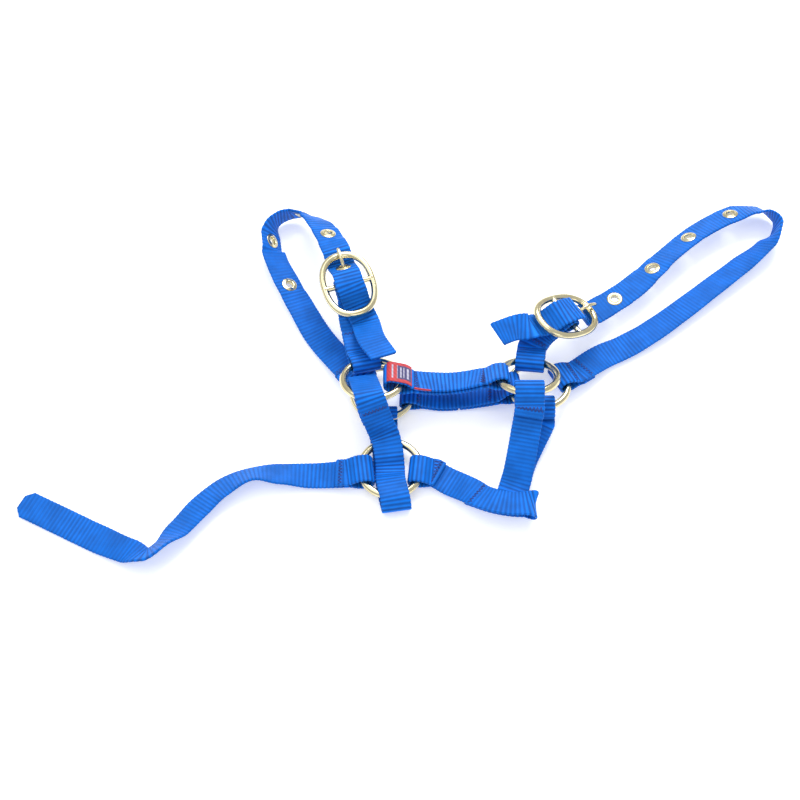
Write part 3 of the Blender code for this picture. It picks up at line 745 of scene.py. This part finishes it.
def catch_route():
    pts = [(vec(-57, -57, 2.4), vec(0, -9, 1)), (vec(-76, -57, 4.7), vec(1, -8, 3)),
            (vec(-95, -58.5, 7.1), vec(3, -8, 7)), (vec(-113, -68, 5.8), vec(5, -8, 5)),
            (vec(-126, -81, 5.3), vec(7, -7, 4)), (vec(-137, -95, 5.8), vec(7, -7, 5)),
            (vec(-148, -108, 8.7), vec(5, -6, 10)), (vec(-157, -114, 7.4), vec(1, -8, 8)),
            (vec(-169, -109.5, 3.4), vec(-3, -9, 2)), (vec(-187, -101, 1.3), vec(-4, -9, 0)),
            (vec(-213, -88, 1.1), vec(-4, -9, 0)), (vec(-231, -79, 1.1), vec(-4, -9, 0)),
            (vec(-239, -75, 1.1), vec(-4, -9, 0))]
    ring = Fold(CHIN.hold((-1, -0.12, 0), (-1, -0.12, 0)), (0, 0, 1), SWING_BEND)
    return folded(ring, 17, pts, True)


ROUTES = {"nose_strap": nose_route, "nose_buckle_mount": nose_mount_route, "crown_strap": crown_route,
          "crown_buckle_mount": crown_mount_route, "cheek_strap_near": cheek_near_route,
          "cheek_strap_far": cheek_far_route, "chin_strap": chin_route, "throat_strap": throat_route,
          "jowl_strap": jowl_route, "lead_strap": catch_route}
LAID = {}               # stations of each strap once it has been laid


def eyelet_place(name):
    low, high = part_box(name + "_grommet")
    return (Vector(low) + Vector(high)) / 2 / MM + LAYOUT


def laid(name):
    """Even stations of a strap, six to a rib."""
    if name not in LAID:
        step = sizes().rib_pitch / MM / RIB_STEPS
        stations = evenly(spline(ROUTES[name](), 0.5), step)
        if name in ("nose_strap", "crown_strap"):
            row = name.split("_")[0]
            marks = [closest(stations, eyelet_place(f"{row}_eyelet_{i + 1}")) for i in range(5)]
            stations = flatten_round(stations, marks, step)
        LAID[name] = stations
    return LAID[name]


# ---- webbing
def section_points(half, thick, dip):
    """Outline of the webbing across its width: flats and two round edges."""
    flat_half = half - thick / 2
    points = []
    flats = (-1.0, -0.75, -0.5, -0.25, 0.0, 0.25, 0.5, 0.75, 1.0)
    for a in flats:
        points.append((a * flat_half, thick / 2 - dip))
    for angle in (58, 20, -20, -58):
        a = math.radians(angle)
        points.append((flat_half + math.cos(a) * thick / 2, math.sin(a) * (thick / 2 - dip * 0.5)))
    for a in reversed(flats):
        points.append((a * flat_half, dip - thick / 2))
    for angle in (-58, -20, 20, 58):
        a = math.radians(angle)
        points.append((-flat_half - math.cos(a) * thick / 2, math.sin(a) * (thick / 2 - dip * 0.5)))
    return points


def bend_at(stations, i):
    """How sharply the webbing turns here."""
    a = stations[max(0, i - BEND_REACH)][1]
    b = stations[min(len(stations) - 1, i + BEND_REACH)][1]
    return (b - a).length


# How open each strap's ribs lie: deepens the rib grooves and sets the strength of the painted groove shade
# and crest highlight
RIBS_OPEN = {"cheek_strap_near": 0.72, "cheek_strap_far": 0.62, "nose_buckle_mount": 0.45}
CORNER = 1.4            # radius of the heat-cut corners
TAIL_SLANT = 4.6        # how much shorter the crown tail is on its lower edge
TAIL_REACH = 16.0       # length over which the slant fades out


def lay_webbing(name, seed, clipped=0.0):
    """One strap: ribs, scalloped edges, slow waves and heat-cut ends."""
    s = sizes()
    stations = laid(name)
    pitch, thick = s.rib_pitch / MM, s.webbing_thickness / MM
    step = pitch / RIB_STEPS
    last = len(stations) - 1
    bm = bmesh.new()
    place_layer = bm.verts.layers.float_vector.new("strap_place")
    rows = []
    for i, (place, tangent, across) in enumerate(stations):
        face = across.cross(tangent).normalized()
        phase = (i / RIB_STEPS) % 1.0
        swell = math.sqrt(max(0.0, 1 - (2 * phase - 1) ** 2))
        drift = noise.noise(Vector((i * step / 26, seed * 7.1, 0.0)))
        open_ribs = RIBS_OPEN.get(name, 0.3) + 0.4 * drift + 2.0 * bend_at(stations, i)
        open_ribs = min(1.1, max(0.12, open_ribs))
        dip = s.rib_depth / MM * open_ribs * (1 - swell)
        half = s.webbing_width / MM / 2 - s.edge_scallop / MM * (1 - swell)
        half += 0.1 * noise.noise(Vector((i * step / 9, seed * 3.3, 5.0)))
        to_end = min(i, last - i) * step
        if clipped and last - i < clipped / step:
            half -= clipped - (last - i) * step
        elif to_end < CORNER:
            half -= CORNER - math.sqrt(CORNER ** 2 - (CORNER - to_end) ** 2)
        slant = 0.0
        if name == "crown_strap" and (last - i) * step < TAIL_REACH:
            slant = TAIL_SLANT * (1 - (last - i) * step / TAIL_REACH) ** 2
        lower = -1 if across.y > 0 else 1
        here = thick * min(1.0, 0.72 + to_end * 0.35)
        row = []
        for x, z in section_points(half, here, dip):
            wave = 0.1 * noise.noise(Vector((x / 9, i * step / 14, seed * 2.7)))
            back = slant * (0.5 + 0.5 * lower * x / half)
            vert = bm.verts.new(place + across * x + face * (z + wave) - tangent * back)
            # z of strap_place: rib openness, the strength of the painted groove shade and crest highlight
            vert[place_layer] = Vector((x, i * step, open_ribs))
            row.append(vert)
        rows.append(row)
    skin(bm, rows)
    return smooth_object(name + "_webbing", bm, webbing_material())


def finish_strap(obj, node, body="webbing"):
    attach(obj, body)
    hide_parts(node)


def punch_eyelets(obj, row):
    """Holes through the webbing for one row of eyelets."""
    stations = laid(row + "_strap")
    bm = bmesh.new()
    radius = sizes().eyelet_bore / MM / 2 + 0.42
    for i in range(5):
        place, tangent, across = stations[closest(stations, eyelet_place(f"{row}_eyelet_{i + 1}"))]
        face = across.cross(tangent).normalized()
        tube(bm, [place - face * 3, place + face * 3], [radius, radius], 28, across)
    cut(obj, smooth_object("eyelet_punch", bm))


def slot_for_tongue(obj, buckle):
    """Slot through the fold round the centre bar."""
    half = sizes().tongue_wire / MM / 2 + PLAY + 0.15
    bm = bmesh.new()
    bmesh.ops.create_cube(bm, size=2.0)
    for v in bm.verts:
        v.co = buckle.at(0.6 + 5.8 * v.co.x, half * v.co.y, 5.6 * v.co.z)
    cut(obj, smooth_object("slot_punch", bm))


# ---- stitching
def sew_row(bm, stations, index, side, rng):
    """One zigzag row across the webbing, on one face."""
    s = sizes()
    thread = s.thread / MM / 2
    long = s.stitch / MM
    step = s.rib_pitch / MM / RIB_STEPS
    lift = s.webbing_thickness / MM / 2
    legs = 14
    for k in range(legs):
        ends = []
        for j in (0, 1):
            x = -SEAM_HALF + 2 * SEAM_HALF * (k + j) / legs + rng.uniform(-0.1, 0.1)
            y = long / 2 * (1 if (k + j) % 2 else -1) * rng.uniform(0.85, 1.1)
            ends.append((x, y))
        places = []
        for t in (0.0, 0.2, 0.5, 0.8, 1.0):
            x = ends[0][0] + (ends[1][0] - ends[0][0]) * t
            y = ends[0][1] + (ends[1][1] - ends[0][1]) * t
            i = min(max(index + y / step, 0), len(stations) - 2)
            place, tangent, across = between(stations[int(i)], stations[int(i) + 1], i - int(i))
            face = across.cross(tangent).normalized() * side
            height = lift + (0.12 if 0.1 < t < 0.9 else -0.3)
            places.append(place + across * x + face * height)
        place, tangent, across = stations[int(index)]
        tube(bm, places, [thread] * 5, 6, across.cross(tangent).normalized())


SEAMS = {
    # strap: places on the seams, and whether the near or the far face shows
    "lead_strap": [((-38.5, -58.0, 12.0), 1), ((-38.5, -58.0, 0.0), -1)],
    "jowl_strap": [((22.5, -58.0, 12.0), 1), ((22.5, -58.0, 0.0), -1), ((48, -73, 12.0), 1),
                   ((48, -72.5, 0.0), -1)],
    "throat_strap": [((80.5, -26.5, 36.0), 1), ((85.0, -30.0, 0.0), -1)],
    "crown_strap": [((112.5, 22.5, 14.0), 1), ((118.5, 25.0, 14.0), 1), ((112.5, 22.5, -4.0), -1),
                    ((118.5, 25.0, -4.0), -1)],
    "nose_strap": [((-36.0, 21.0, 12.0), 1), ((-36.0, 21.0, -4.0), -1)],
    "cheek_strap_near": [((11.0, 2.0, 26.0), 1), ((53.0, 4.0, 27.0), 1), ((11.0, 2.0, 10.0), -1),
                         ((53.0, 4.0, 10.0), -1), ((29.0, 3.0, 9.0), -1), ((35.0, 3.0, 9.0), -1)],
    "cheek_strap_far": [((14.0, -3.0, 12.0), 1), ((57.0, 1.0, 14.0), 1), ((14.0, -3.0, -3.0), -1),
                        ((57.0, 1.0, -3.0), -1)],
    "chin_strap": [((-15.0, -25.8, 30.0), 1), ((-11.4, -27.5, 8.0), 1)],
    "nose_buckle_mount": [((-31.0, 53.0, 24.0), 1), ((-29.0, 40.0, 24.0), 1), ((-31.0, 53.0, 8.0), -1),
                          ((-29.0, 40.0, 8.0), -1)],
    "crown_buckle_mount": [((98.0, 38.0, 28.0), 1), ((85.5, 32.0, 28.0), 1), ((85.5, 32.0, 12.0), -1)],
}


def sew(name, seed):
    """All the seams of one strap in one piece."""
    stations = laid(name)
    rng = random.Random(seed)
    bm = bmesh.new()
    for place, side in SEAMS[name]:
        index = closest(stations, vec(*place))
        station = stations[index]
        face = station[2].cross(station[1]).normalized()
        up = 1 if face.z > 0 else -1
        sew_row(bm, stations, index, up * side, rng)
    return smooth_object(name + "_stitches", bm, thread_material("sewing thread", colours().thread))


# ---- hardware
def make_ring(ring, seed):
    """Bent wire ring, its ends butt-welded and ground nearly flush."""
    wire = sizes().ring_wire / MM / 2
    e1 = square_to(vec(1, 0.2, 0), ring.axis)
    e2 = ring.axis.cross(e1)
    count = 144
    places, radii = [], []
    weld = 2.1 + seed
    for k in range(count):
        a = 2 * math.pi * k / count
        near_weld = math.exp(-((math.remainder(a - weld, 2 * math.pi)) / 0.035) ** 2)
        ripple = 0.02 * math.sin(3 * a + seed)
        places.append(ring.centre + (e1 * math.cos(a) + e2 * math.sin(a)) * (RING_R + ripple))
        radii.append(wire * (1.0 + 0.035 * near_weld))
    bm = bmesh.new()
    tube(bm, places, radii, 24, ring.axis, closed=True)
    return smooth_object(ring.name + "_wire", bm, brass_material())


def make_frame(buckle):
    """Oval buckle frame with its centre bar, cast in one."""
    s = sizes()
    wire, bar = s.frame_wire / MM / 2, s.bar_wire / MM / 2
    a_long = (FRAME_LONG - 2 * wire) / 2
    a_wide = (FRAME_WIDE - 2 * wire) / 2
    count = 168
    places, radii = [], []
    for k in range(count):
        t = 2 * math.pi * k / count
        c, d = math.cos(t), math.sin(t)
        places.append(buckle.at(a_long * math.copysign(abs(c) ** 0.86, c),
                                a_wide * math.copysign(abs(d) ** 0.86, d), 0))
        radii.append(wire * (1.0 + 0.05 * abs(c) ** 6 - 0.02 * abs(d)))
    bm = bmesh.new()
    tube(bm, places, radii, 24, buckle.face, closed=True, squash=0.94)
    obj = smooth_object(buckle.name + "_frame_casting", bm, brass_material())
    places, radii = [], []
    for k in range(25):
        w = a_wide * (k / 12 - 1)
        places.append(buckle.at(0, w, 0))
        radii.append(bar * (1.0 + 0.16 * abs(k / 12 - 1) ** 8))
    bm = bmesh.new()
    tube(bm, places, radii, 24, buckle.face)
    cut(obj, smooth_object("bar_guide", bm), "UNION")
    obj.data.shade_smooth()
    return obj


def make_tongue(buckle):
    """Bent wire tongue: a hook round the bar, a kinked shank and a blunt tip."""
    s = sizes()
    wire, bar = s.tongue_wire / MM / 2, s.bar_wire / MM / 2
    r = bar + PLAY + wire + 0.1
    points = []
    for k in range(8):
        a = math.radians(50 + k * 220 / 7)
        points.append((buckle.at(r * math.cos(a), 0, r * math.sin(a)), buckle.across))
    shank = [(4.5, -3.3), (7.6, -2.2), (9.4, -0.6), (12.2, 2.2), (14.6, 4.2), (18, 5.3), (22, 5.1),
             (25.5, 4.2)]
    for u, v in shank:
        points.append((buckle.at(u, 0, v), buckle.across))
    stations = spline(points, 0.6)
    places = [st[0] for st in stations]
    total = len(places)
    radii = []
    for i in range(total):
        from_tip = total - 1 - i
        tip = math.sqrt(max(0.0, 1 - (1 - min(from_tip, 3) / 3.2) ** 2)) if from_tip < 3 else 1.0
        radii.append(wire * tip * (1.0 if i > 2 else 0.8 + 0.1 * i))
    bm = bmesh.new()
    tube(bm, places, radii, 18, buckle.across)
    return smooth_object(buckle.name + "_tongue_wire", bm, brass_material())


def make_eyelet(name, stations, outward):
    """Rolled grommet and its washer, seen as one pressed eyelet."""
    s = sizes()
    r_in, r_out = s.eyelet_bore / MM / 2, s.eyelet_flange / MM / 2
    seat = s.webbing_thickness / MM / 2 + 0.02
    centre = eyelet_place(name)
    place, tangent, across = stations[closest(stations, centre)]
    face = across.cross(tangent).normalized() * outward
    roll = []
    for k in range(9):
        a = math.pi * k / 8
        roll.append((r_in + 0.42 - 0.42 * math.cos(a) * (1 if a < math.pi / 2 else 0.55),
                     seat + 0.42 + 0.4 * math.sin(a)))
    front = roll + [(r_in + 1.5, seat + 0.56), (r_out - 0.8, seat + 0.5), (r_out - 0.2, seat + 0.34),
                    (r_out, seat + 0.12), (r_out - 0.06, seat), (r_in + 0.4, seat)]
    back = [(r_in + 0.4, -seat), (r_out - 0.06, -seat), (r_out, -seat - 0.12), (r_out - 0.2, -seat - 0.34),
            (r_out - 0.8, -seat - 0.46), (r_in + 1.3, -seat - 0.5), (r_in + 0.8, -seat - 0.75),
            (r_in + 0.3, -seat - 0.78), (r_in, -seat - 0.5)]
    profile = front + back
    bm = bmesh.new()
    rows = []
    for k in range(48):
        a = 2 * math.pi * k / 48
        side = tangent * math.cos(a) + across * math.sin(a)
        split = 0.05 * math.cos(6 * a)
        rows.append([bm.verts.new(place + side * r + face * (h + (split if h < -seat - 0.6 else 0)))
                     for r, h in profile])
    skin(bm, rows, closed=True)
    return smooth_object(name + "_pressed", bm, brass_material())


# ---- label
LABEL_SHORT = 7         # stations left bare where the label ends
LABEL_EDGE = 10.5       # length of red selvedge past the label


def label_region(u, v):
    """0 ground, 1 panel, 2 pale thread; u along the strap and v across it, 0 to 1."""
    if 0.16 < v < 0.84:
        if 0.17 < u < 0.22 or 0.37 < u < 0.40:
            return 2
        if 0.40 <= u < 0.97:
            in_stripe = 0.50 < u < 0.56 or 0.64 < u < 0.68 or 0.78 < u < 0.84
            return 2 if in_stripe and 0.24 < v < 0.76 else 1
    return 0


def add_label_edge(bm):
    """The label's red selvedge, caught under the stitching along the strap's lower edge."""
    s = sizes()
    stations = laid("cheek_strap_near")
    step = s.rib_pitch / MM / RIB_STEPS
    end = nose_end_of_cheek().turn(-1)[-1][0]
    nearest = closest(stations, end)
    ahead = 1 if stations[nearest + 8][0].x > stations[nearest][0].x else -1
    half, lift = s.webbing_width / MM / 2, s.webbing_thickness / MM / 2
    rows = []
    for i in range(round(LABEL_EDGE / step)):
        place, tangent, across = stations[nearest + ahead * i]
        face = across.cross(tangent).normalized()
        face = -face if face.z < 0 else face
        low = -across if across.y > 0 else across
        wide = 0.45 * math.sqrt(1 - i * step / LABEL_EDGE) + 0.12
        base = place + low * (half + 0.05)
        rows.append([bm.verts.new(base + face * (lift * 0.3)), bm.verts.new(base + face * (lift + 0.2)),
                     bm.verts.new(base - low * wide * 2 + face * (lift + 0.24)),
                     bm.verts.new(base - low * wide * 2 + face * (lift - 0.1))])
    skin(bm, rows)


def make_label():
    """Woven patch wrapped over the nose end of the near cheek strap."""
    clear = sizes().webbing_thickness / MM / 2 + 0.18
    half = sizes().webbing_width / MM / 2 + 0.25
    path = evenly(spline(nose_end_of_cheek().turn(-1)[-8:], 0.4)[:-LABEL_SHORT], 0.3)
    c = colours()
    bm = bmesh.new()
    across_count = 64
    tops, bottoms = [], []
    last = len(path) - 1
    for i, (place, tangent, across) in enumerate(path):
        face = across.cross(tangent).normalized()
        if face.z < 0:
            face = -face
        top, bottom = [], []
        for k in range(across_count + 1):
            v = k / across_count
            x = half * (2 * v - 1)
            raised = 0.06 if label_region(i / last, v) == 2 else 0.0
            weave = 0.03 * noise.noise(Vector((x, i * 0.3, 3.0)))
            edge = 0.12 if k in (0, across_count) or i in (0, last) else 0.0
            top.append(bm.verts.new(place + across * x + face * (clear + 0.34 + raised + weave - edge)))
            bottom.append(bm.verts.new(place + across * x + face * clear))
        tops.append(top)
        bottoms.append(bottom)
    for i in range(last):
        for k in range(across_count):
            region = label_region((i + 0.5) / last, (k + 0.5) / across_count)
            quad = bm.faces.new((tops[i][k], tops[i][k + 1], tops[i + 1][k + 1], tops[i + 1][k]))
            quad.material_index = region
            bm.faces.new((bottoms[i][k], bottoms[i + 1][k], bottoms[i + 1][k + 1], bottoms[i][k + 1]))
        for k, turn in ((0, 1), (across_count, -1)):
            quad = (tops[i][k], tops[i + 1][k], bottoms[i + 1][k], bottoms[i][k])
            bm.faces.new(quad[::turn])
    for k in range(across_count):
        bm.faces.new((tops[0][k], bottoms[0][k], bottoms[0][k + 1], tops[0][k + 1]))
        bm.faces.new((tops[last][k], tops[last][k + 1], bottoms[last][k + 1], bottoms[last][k]))
    add_label_edge(bm)
    return smooth_object("label_patch", bm, thread_material("label ground thread", c.label_red),
                         thread_material("label panel thread", c.label_navy),
                         thread_material("label pale thread", c.label_pale))


# ---- operators
class HALTER_OT_adjusting_straps(bpy.types.Operator):
    """Lay the nose and crown straps and punch their eyelet holes"""
    bl_idname = "halter.adjusting_straps"
    bl_label = "Nose and Crown Straps"

    def execute(self, context):
        for seed, row in enumerate(("nose", "crown")):
            strap = lay_webbing(row + "_strap", seed + 1)
            punch_eyelets(strap, row)
            finish_strap(strap, row + "_strap")
        return {"FINISHED"}


class HALTER_OT_buckle_mounts(bpy.types.Operator):
    """Lay the short straps that hold the buckles and slot them for the tongues"""
    bl_idname = "halter.buckle_mounts"
    bl_label = "Buckle Mounts"

    def execute(self, context):
        for seed, buckle in enumerate((NOSE_BUCKLE, CROWN_BUCKLE)):
            node = buckle.name + "_mount"
            strap = lay_webbing(node, seed + 3)
            slot_for_tongue(strap, buckle)
            finish_strap(strap, node)
        return {"FINISHED"}


class HALTER_OT_plain_straps(bpy.types.Operator):
    """Lay the cheek, chin, throat and jowl straps"""
    bl_idname = "halter.plain_straps"
    bl_label = "Cheek, Chin, Throat and Jowl Straps"

    def execute(self, context):
        nodes = ("cheek_strap_near", "cheek_strap_far", "chin_strap", "throat_strap", "jowl_strap")
        for seed, node in enumerate(nodes):
            finish_strap(lay_webbing(node, seed + 5), node)
        return {"FINISHED"}


class HALTER_OT_catch_strap(bpy.types.Operator):
    """Lay the catch strap with its clipped tip"""
    bl_idname = "halter.catch_strap"
    bl_label = "Catch Strap"

    def execute(self, context):
        finish_strap(lay_webbing("lead_strap", 11, 4.5), "lead_strap", "lead")
        return {"FINISHED"}


class HALTER_OT_stitching(bpy.types.Operator):
    """Sew the zigzag seams of every strap"""
    bl_idname = "halter.stitching"
    bl_label = "Stitching"

    def execute(self, context):
        for seed, node in enumerate(SEAMS):
            piece = sew(node, seed)
            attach(piece, "lead" if node == "lead_strap" else "webbing")
        return {"FINISHED"}


class HALTER_OT_rings(bpy.types.Operator):
    """Bend the five rings"""
    bl_idname = "halter.rings"
    bl_label = "Rings"

    def execute(self, context):
        for seed, ring in enumerate((NOSE_NEAR, NOSE_FAR, CHEEK_NEAR, CHEEK_FAR, CHIN)):
            finish_strap(make_ring(ring, seed), ring.name, ring.name)
        return {"FINISHED"}


class HALTER_OT_buckles(bpy.types.Operator):
    """Cast the buckle frames and bend their tongues"""
    bl_idname = "halter.buckles"
    bl_label = "Buckles"

    def execute(self, context):
        for buckle in (NOSE_BUCKLE, CROWN_BUCKLE):
            for part, maker in (("_frame", make_frame), ("_tongue", make_tongue)):
                node = buckle.name + part
                finish_strap(maker(buckle), node, node)
        return {"FINISHED"}


class HALTER_OT_eyelets(bpy.types.Operator):
    """Press the eyelets into the nose and crown straps"""
    bl_idname = "halter.eyelets"
    bl_label = "Eyelets"

    def execute(self, context):
        for row, buckle in (("nose", NOSE_BUCKLE), ("crown", CROWN_BUCKLE)):
            stations = laid(row + "_strap")
            first = stations[closest(stations, eyelet_place(row + "_eyelet_1"))]
            outward = 1 if first[2].cross(first[1]).dot(buckle.face) > 0 else -1
            for i in range(5):
                name = f"{row}_eyelet_{i + 1}"
                piece = make_eyelet(name, stations, outward)
                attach(piece, "webbing")
                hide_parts(name + "_grommet", name + "_washer")
        return {"FINISHED"}


class HALTER_OT_label(bpy.types.Operator):
    """Wrap the woven label round the near cheek strap"""
    bl_idname = "halter.label"
    bl_label = "Label"

    def execute(self, context):
        finish_strap(make_label(), "label", "webbing")
        return {"FINISHED"}


def area_light(name, place, target, size, power):
    data = bpy.data.lights.new(name, "AREA")
    data.shape = "DISK"
    data.size = size
    data.energy = power
    lamp = bpy.data.objects.new(name, data)
    lamp.location = place
    lamp.rotation_mode = "QUATERNION"
    lamp.rotation_quaternion = (Vector(target) - Vector(place)).to_track_quat("-Z", "Y")
    bpy.context.scene.collection.objects.link(lamp)


class HALTER_OT_stage(bpy.types.Operator):
    """Set up the pale floor, the soft light and the camera"""
    bl_idname = "halter.stage"
    bl_label = "Stage"

    def execute(self, context):
        scene = context.scene
        scene.view_settings.view_transform = "Standard"
        bm = bmesh.new()
        bmesh.ops.create_grid(bm, x_segments=1, y_segments=1, size=4.0)
        mesh = bpy.data.meshes.new("floor")
        bm.to_mesh(mesh)
        bm.free()
        mesh.materials.append(floor_material())
        floor = bpy.data.objects.new("floor", mesh)
        floor.location.z = -FLOOR_DROP
        scene.collection.objects.link(floor)
        target = -LAYOUT * MM
        area_light("back key", (0.25, 1.1, 1.25), target, 1.0, 22.0)
        area_light("top fill", (-0.6, 0.1, 1.6), target, 1.8, 9.0)
        area_light("front fill", (0.5, -1.3, 0.9), target, 1.0, 3.0)
        world = bpy.data.worlds.new("studio")
        world.use_nodes = True
        world.node_tree.nodes["Background"].inputs["Color"].default_value = (0.95, 0.97, 1.0, 1)
        world.node_tree.nodes["Background"].inputs["Strength"].default_value = 0.7
        scene.world = world
        data = bpy.data.cameras.new("camera")
        data.lens = 70.0
        data.sensor_width = 36.0
        data.clip_start = 0.01
        camera = bpy.data.objects.new("camera", data)
        back = Vector((0.0, -math.cos(math.radians(CAMERA_RAISE)), math.sin(math.radians(CAMERA_RAISE))))
        camera.location = target + back * CAMERA_AWAY
        camera.rotation_mode = "QUATERNION"
        camera.rotation_quaternion = (-back).to_track_quat("-Z", "Y")
        scene.collection.objects.link(camera)
        scene.camera = camera
        return {"FINISHED"}


def floor_material():
    mat = bpy.data.materials.new("pale floor")
    mat.use_nodes = True
    tree = mat.node_tree
    shader = tree.nodes["Principled BSDF"]
    coords = tree.nodes.new("ShaderNodeTexCoord")
    soft = noise_node(tree, coords.outputs["Object"], 3.0, 2.0)
    share = remap(tree, soft, 0.3, 0.7, 0.0, 0.25)
    tone = mix_colour(tree, share, (*colours().floor, 1), (0.9, 0.91, 0.92, 1))
    tree.links.new(tone, shader.inputs["Base Color"])
    shader.inputs["Roughness"].default_value = 0.85
    shader.inputs["Specular IOR Level"].default_value = 0.2
    shader.inputs["Emission Color"].default_value = (1, 1, 1, 1)
    shader.inputs["Emission Strength"].default_value = 0.35
    return mat


class HALTER_PT_panel(bpy.types.Panel):
    """Sizes, colours and build steps of the halter"""
    bl_idname = "HALTER_PT_panel"
    bl_label = "Webbing Halter"
    bl_space_type = "VIEW_3D"
    bl_region_type = "UI"
    bl_category = "Halter"

    def draw(self, context):
        layout = self.layout
        for group in (context.scene.halter_sizes, context.scene.halter_colours):
            box = layout.box()
            for name in group.__annotations__:
                box.prop(group, name)
        for operator in OPERATORS:
            layout.operator(operator.bl_idname)


OPERATORS = (HALTER_OT_stage, HALTER_OT_adjusting_straps, HALTER_OT_buckle_mounts, HALTER_OT_plain_straps,
             HALTER_OT_catch_strap, HALTER_OT_stitching, HALTER_OT_rings, HALTER_OT_buckles,
             HALTER_OT_eyelets, HALTER_OT_label)
CLASSES = (HalterSizes, HalterColours) + OPERATORS + (HALTER_PT_panel,)


def register():
    for cls in CLASSES:
        bpy.utils.register_class(cls)
    bpy.types.Scene.halter_sizes = bpy.props.PointerProperty(type=HalterSizes)
    bpy.types.Scene.halter_colours = bpy.props.PointerProperty(type=HalterColours)


def unregister():
    del bpy.types.Scene.halter_colours
    del bpy.types.Scene.halter_sizes
    for cls in reversed(CLASSES):
        bpy.utils.unregister_class(cls)


def main():
    register()
    bpy.ops.halter.stage()
    bpy.ops.halter.adjusting_straps()
    bpy.ops.halter.buckle_mounts()
    bpy.ops.halter.plain_straps()
    bpy.ops.halter.catch_strap()
    bpy.ops.halter.stitching()
    bpy.ops.halter.rings()
    bpy.ops.halter.buckles()
    bpy.ops.halter.eyelets()
    bpy.ops.halter.label()


if __name__ == "__main__":
    main()
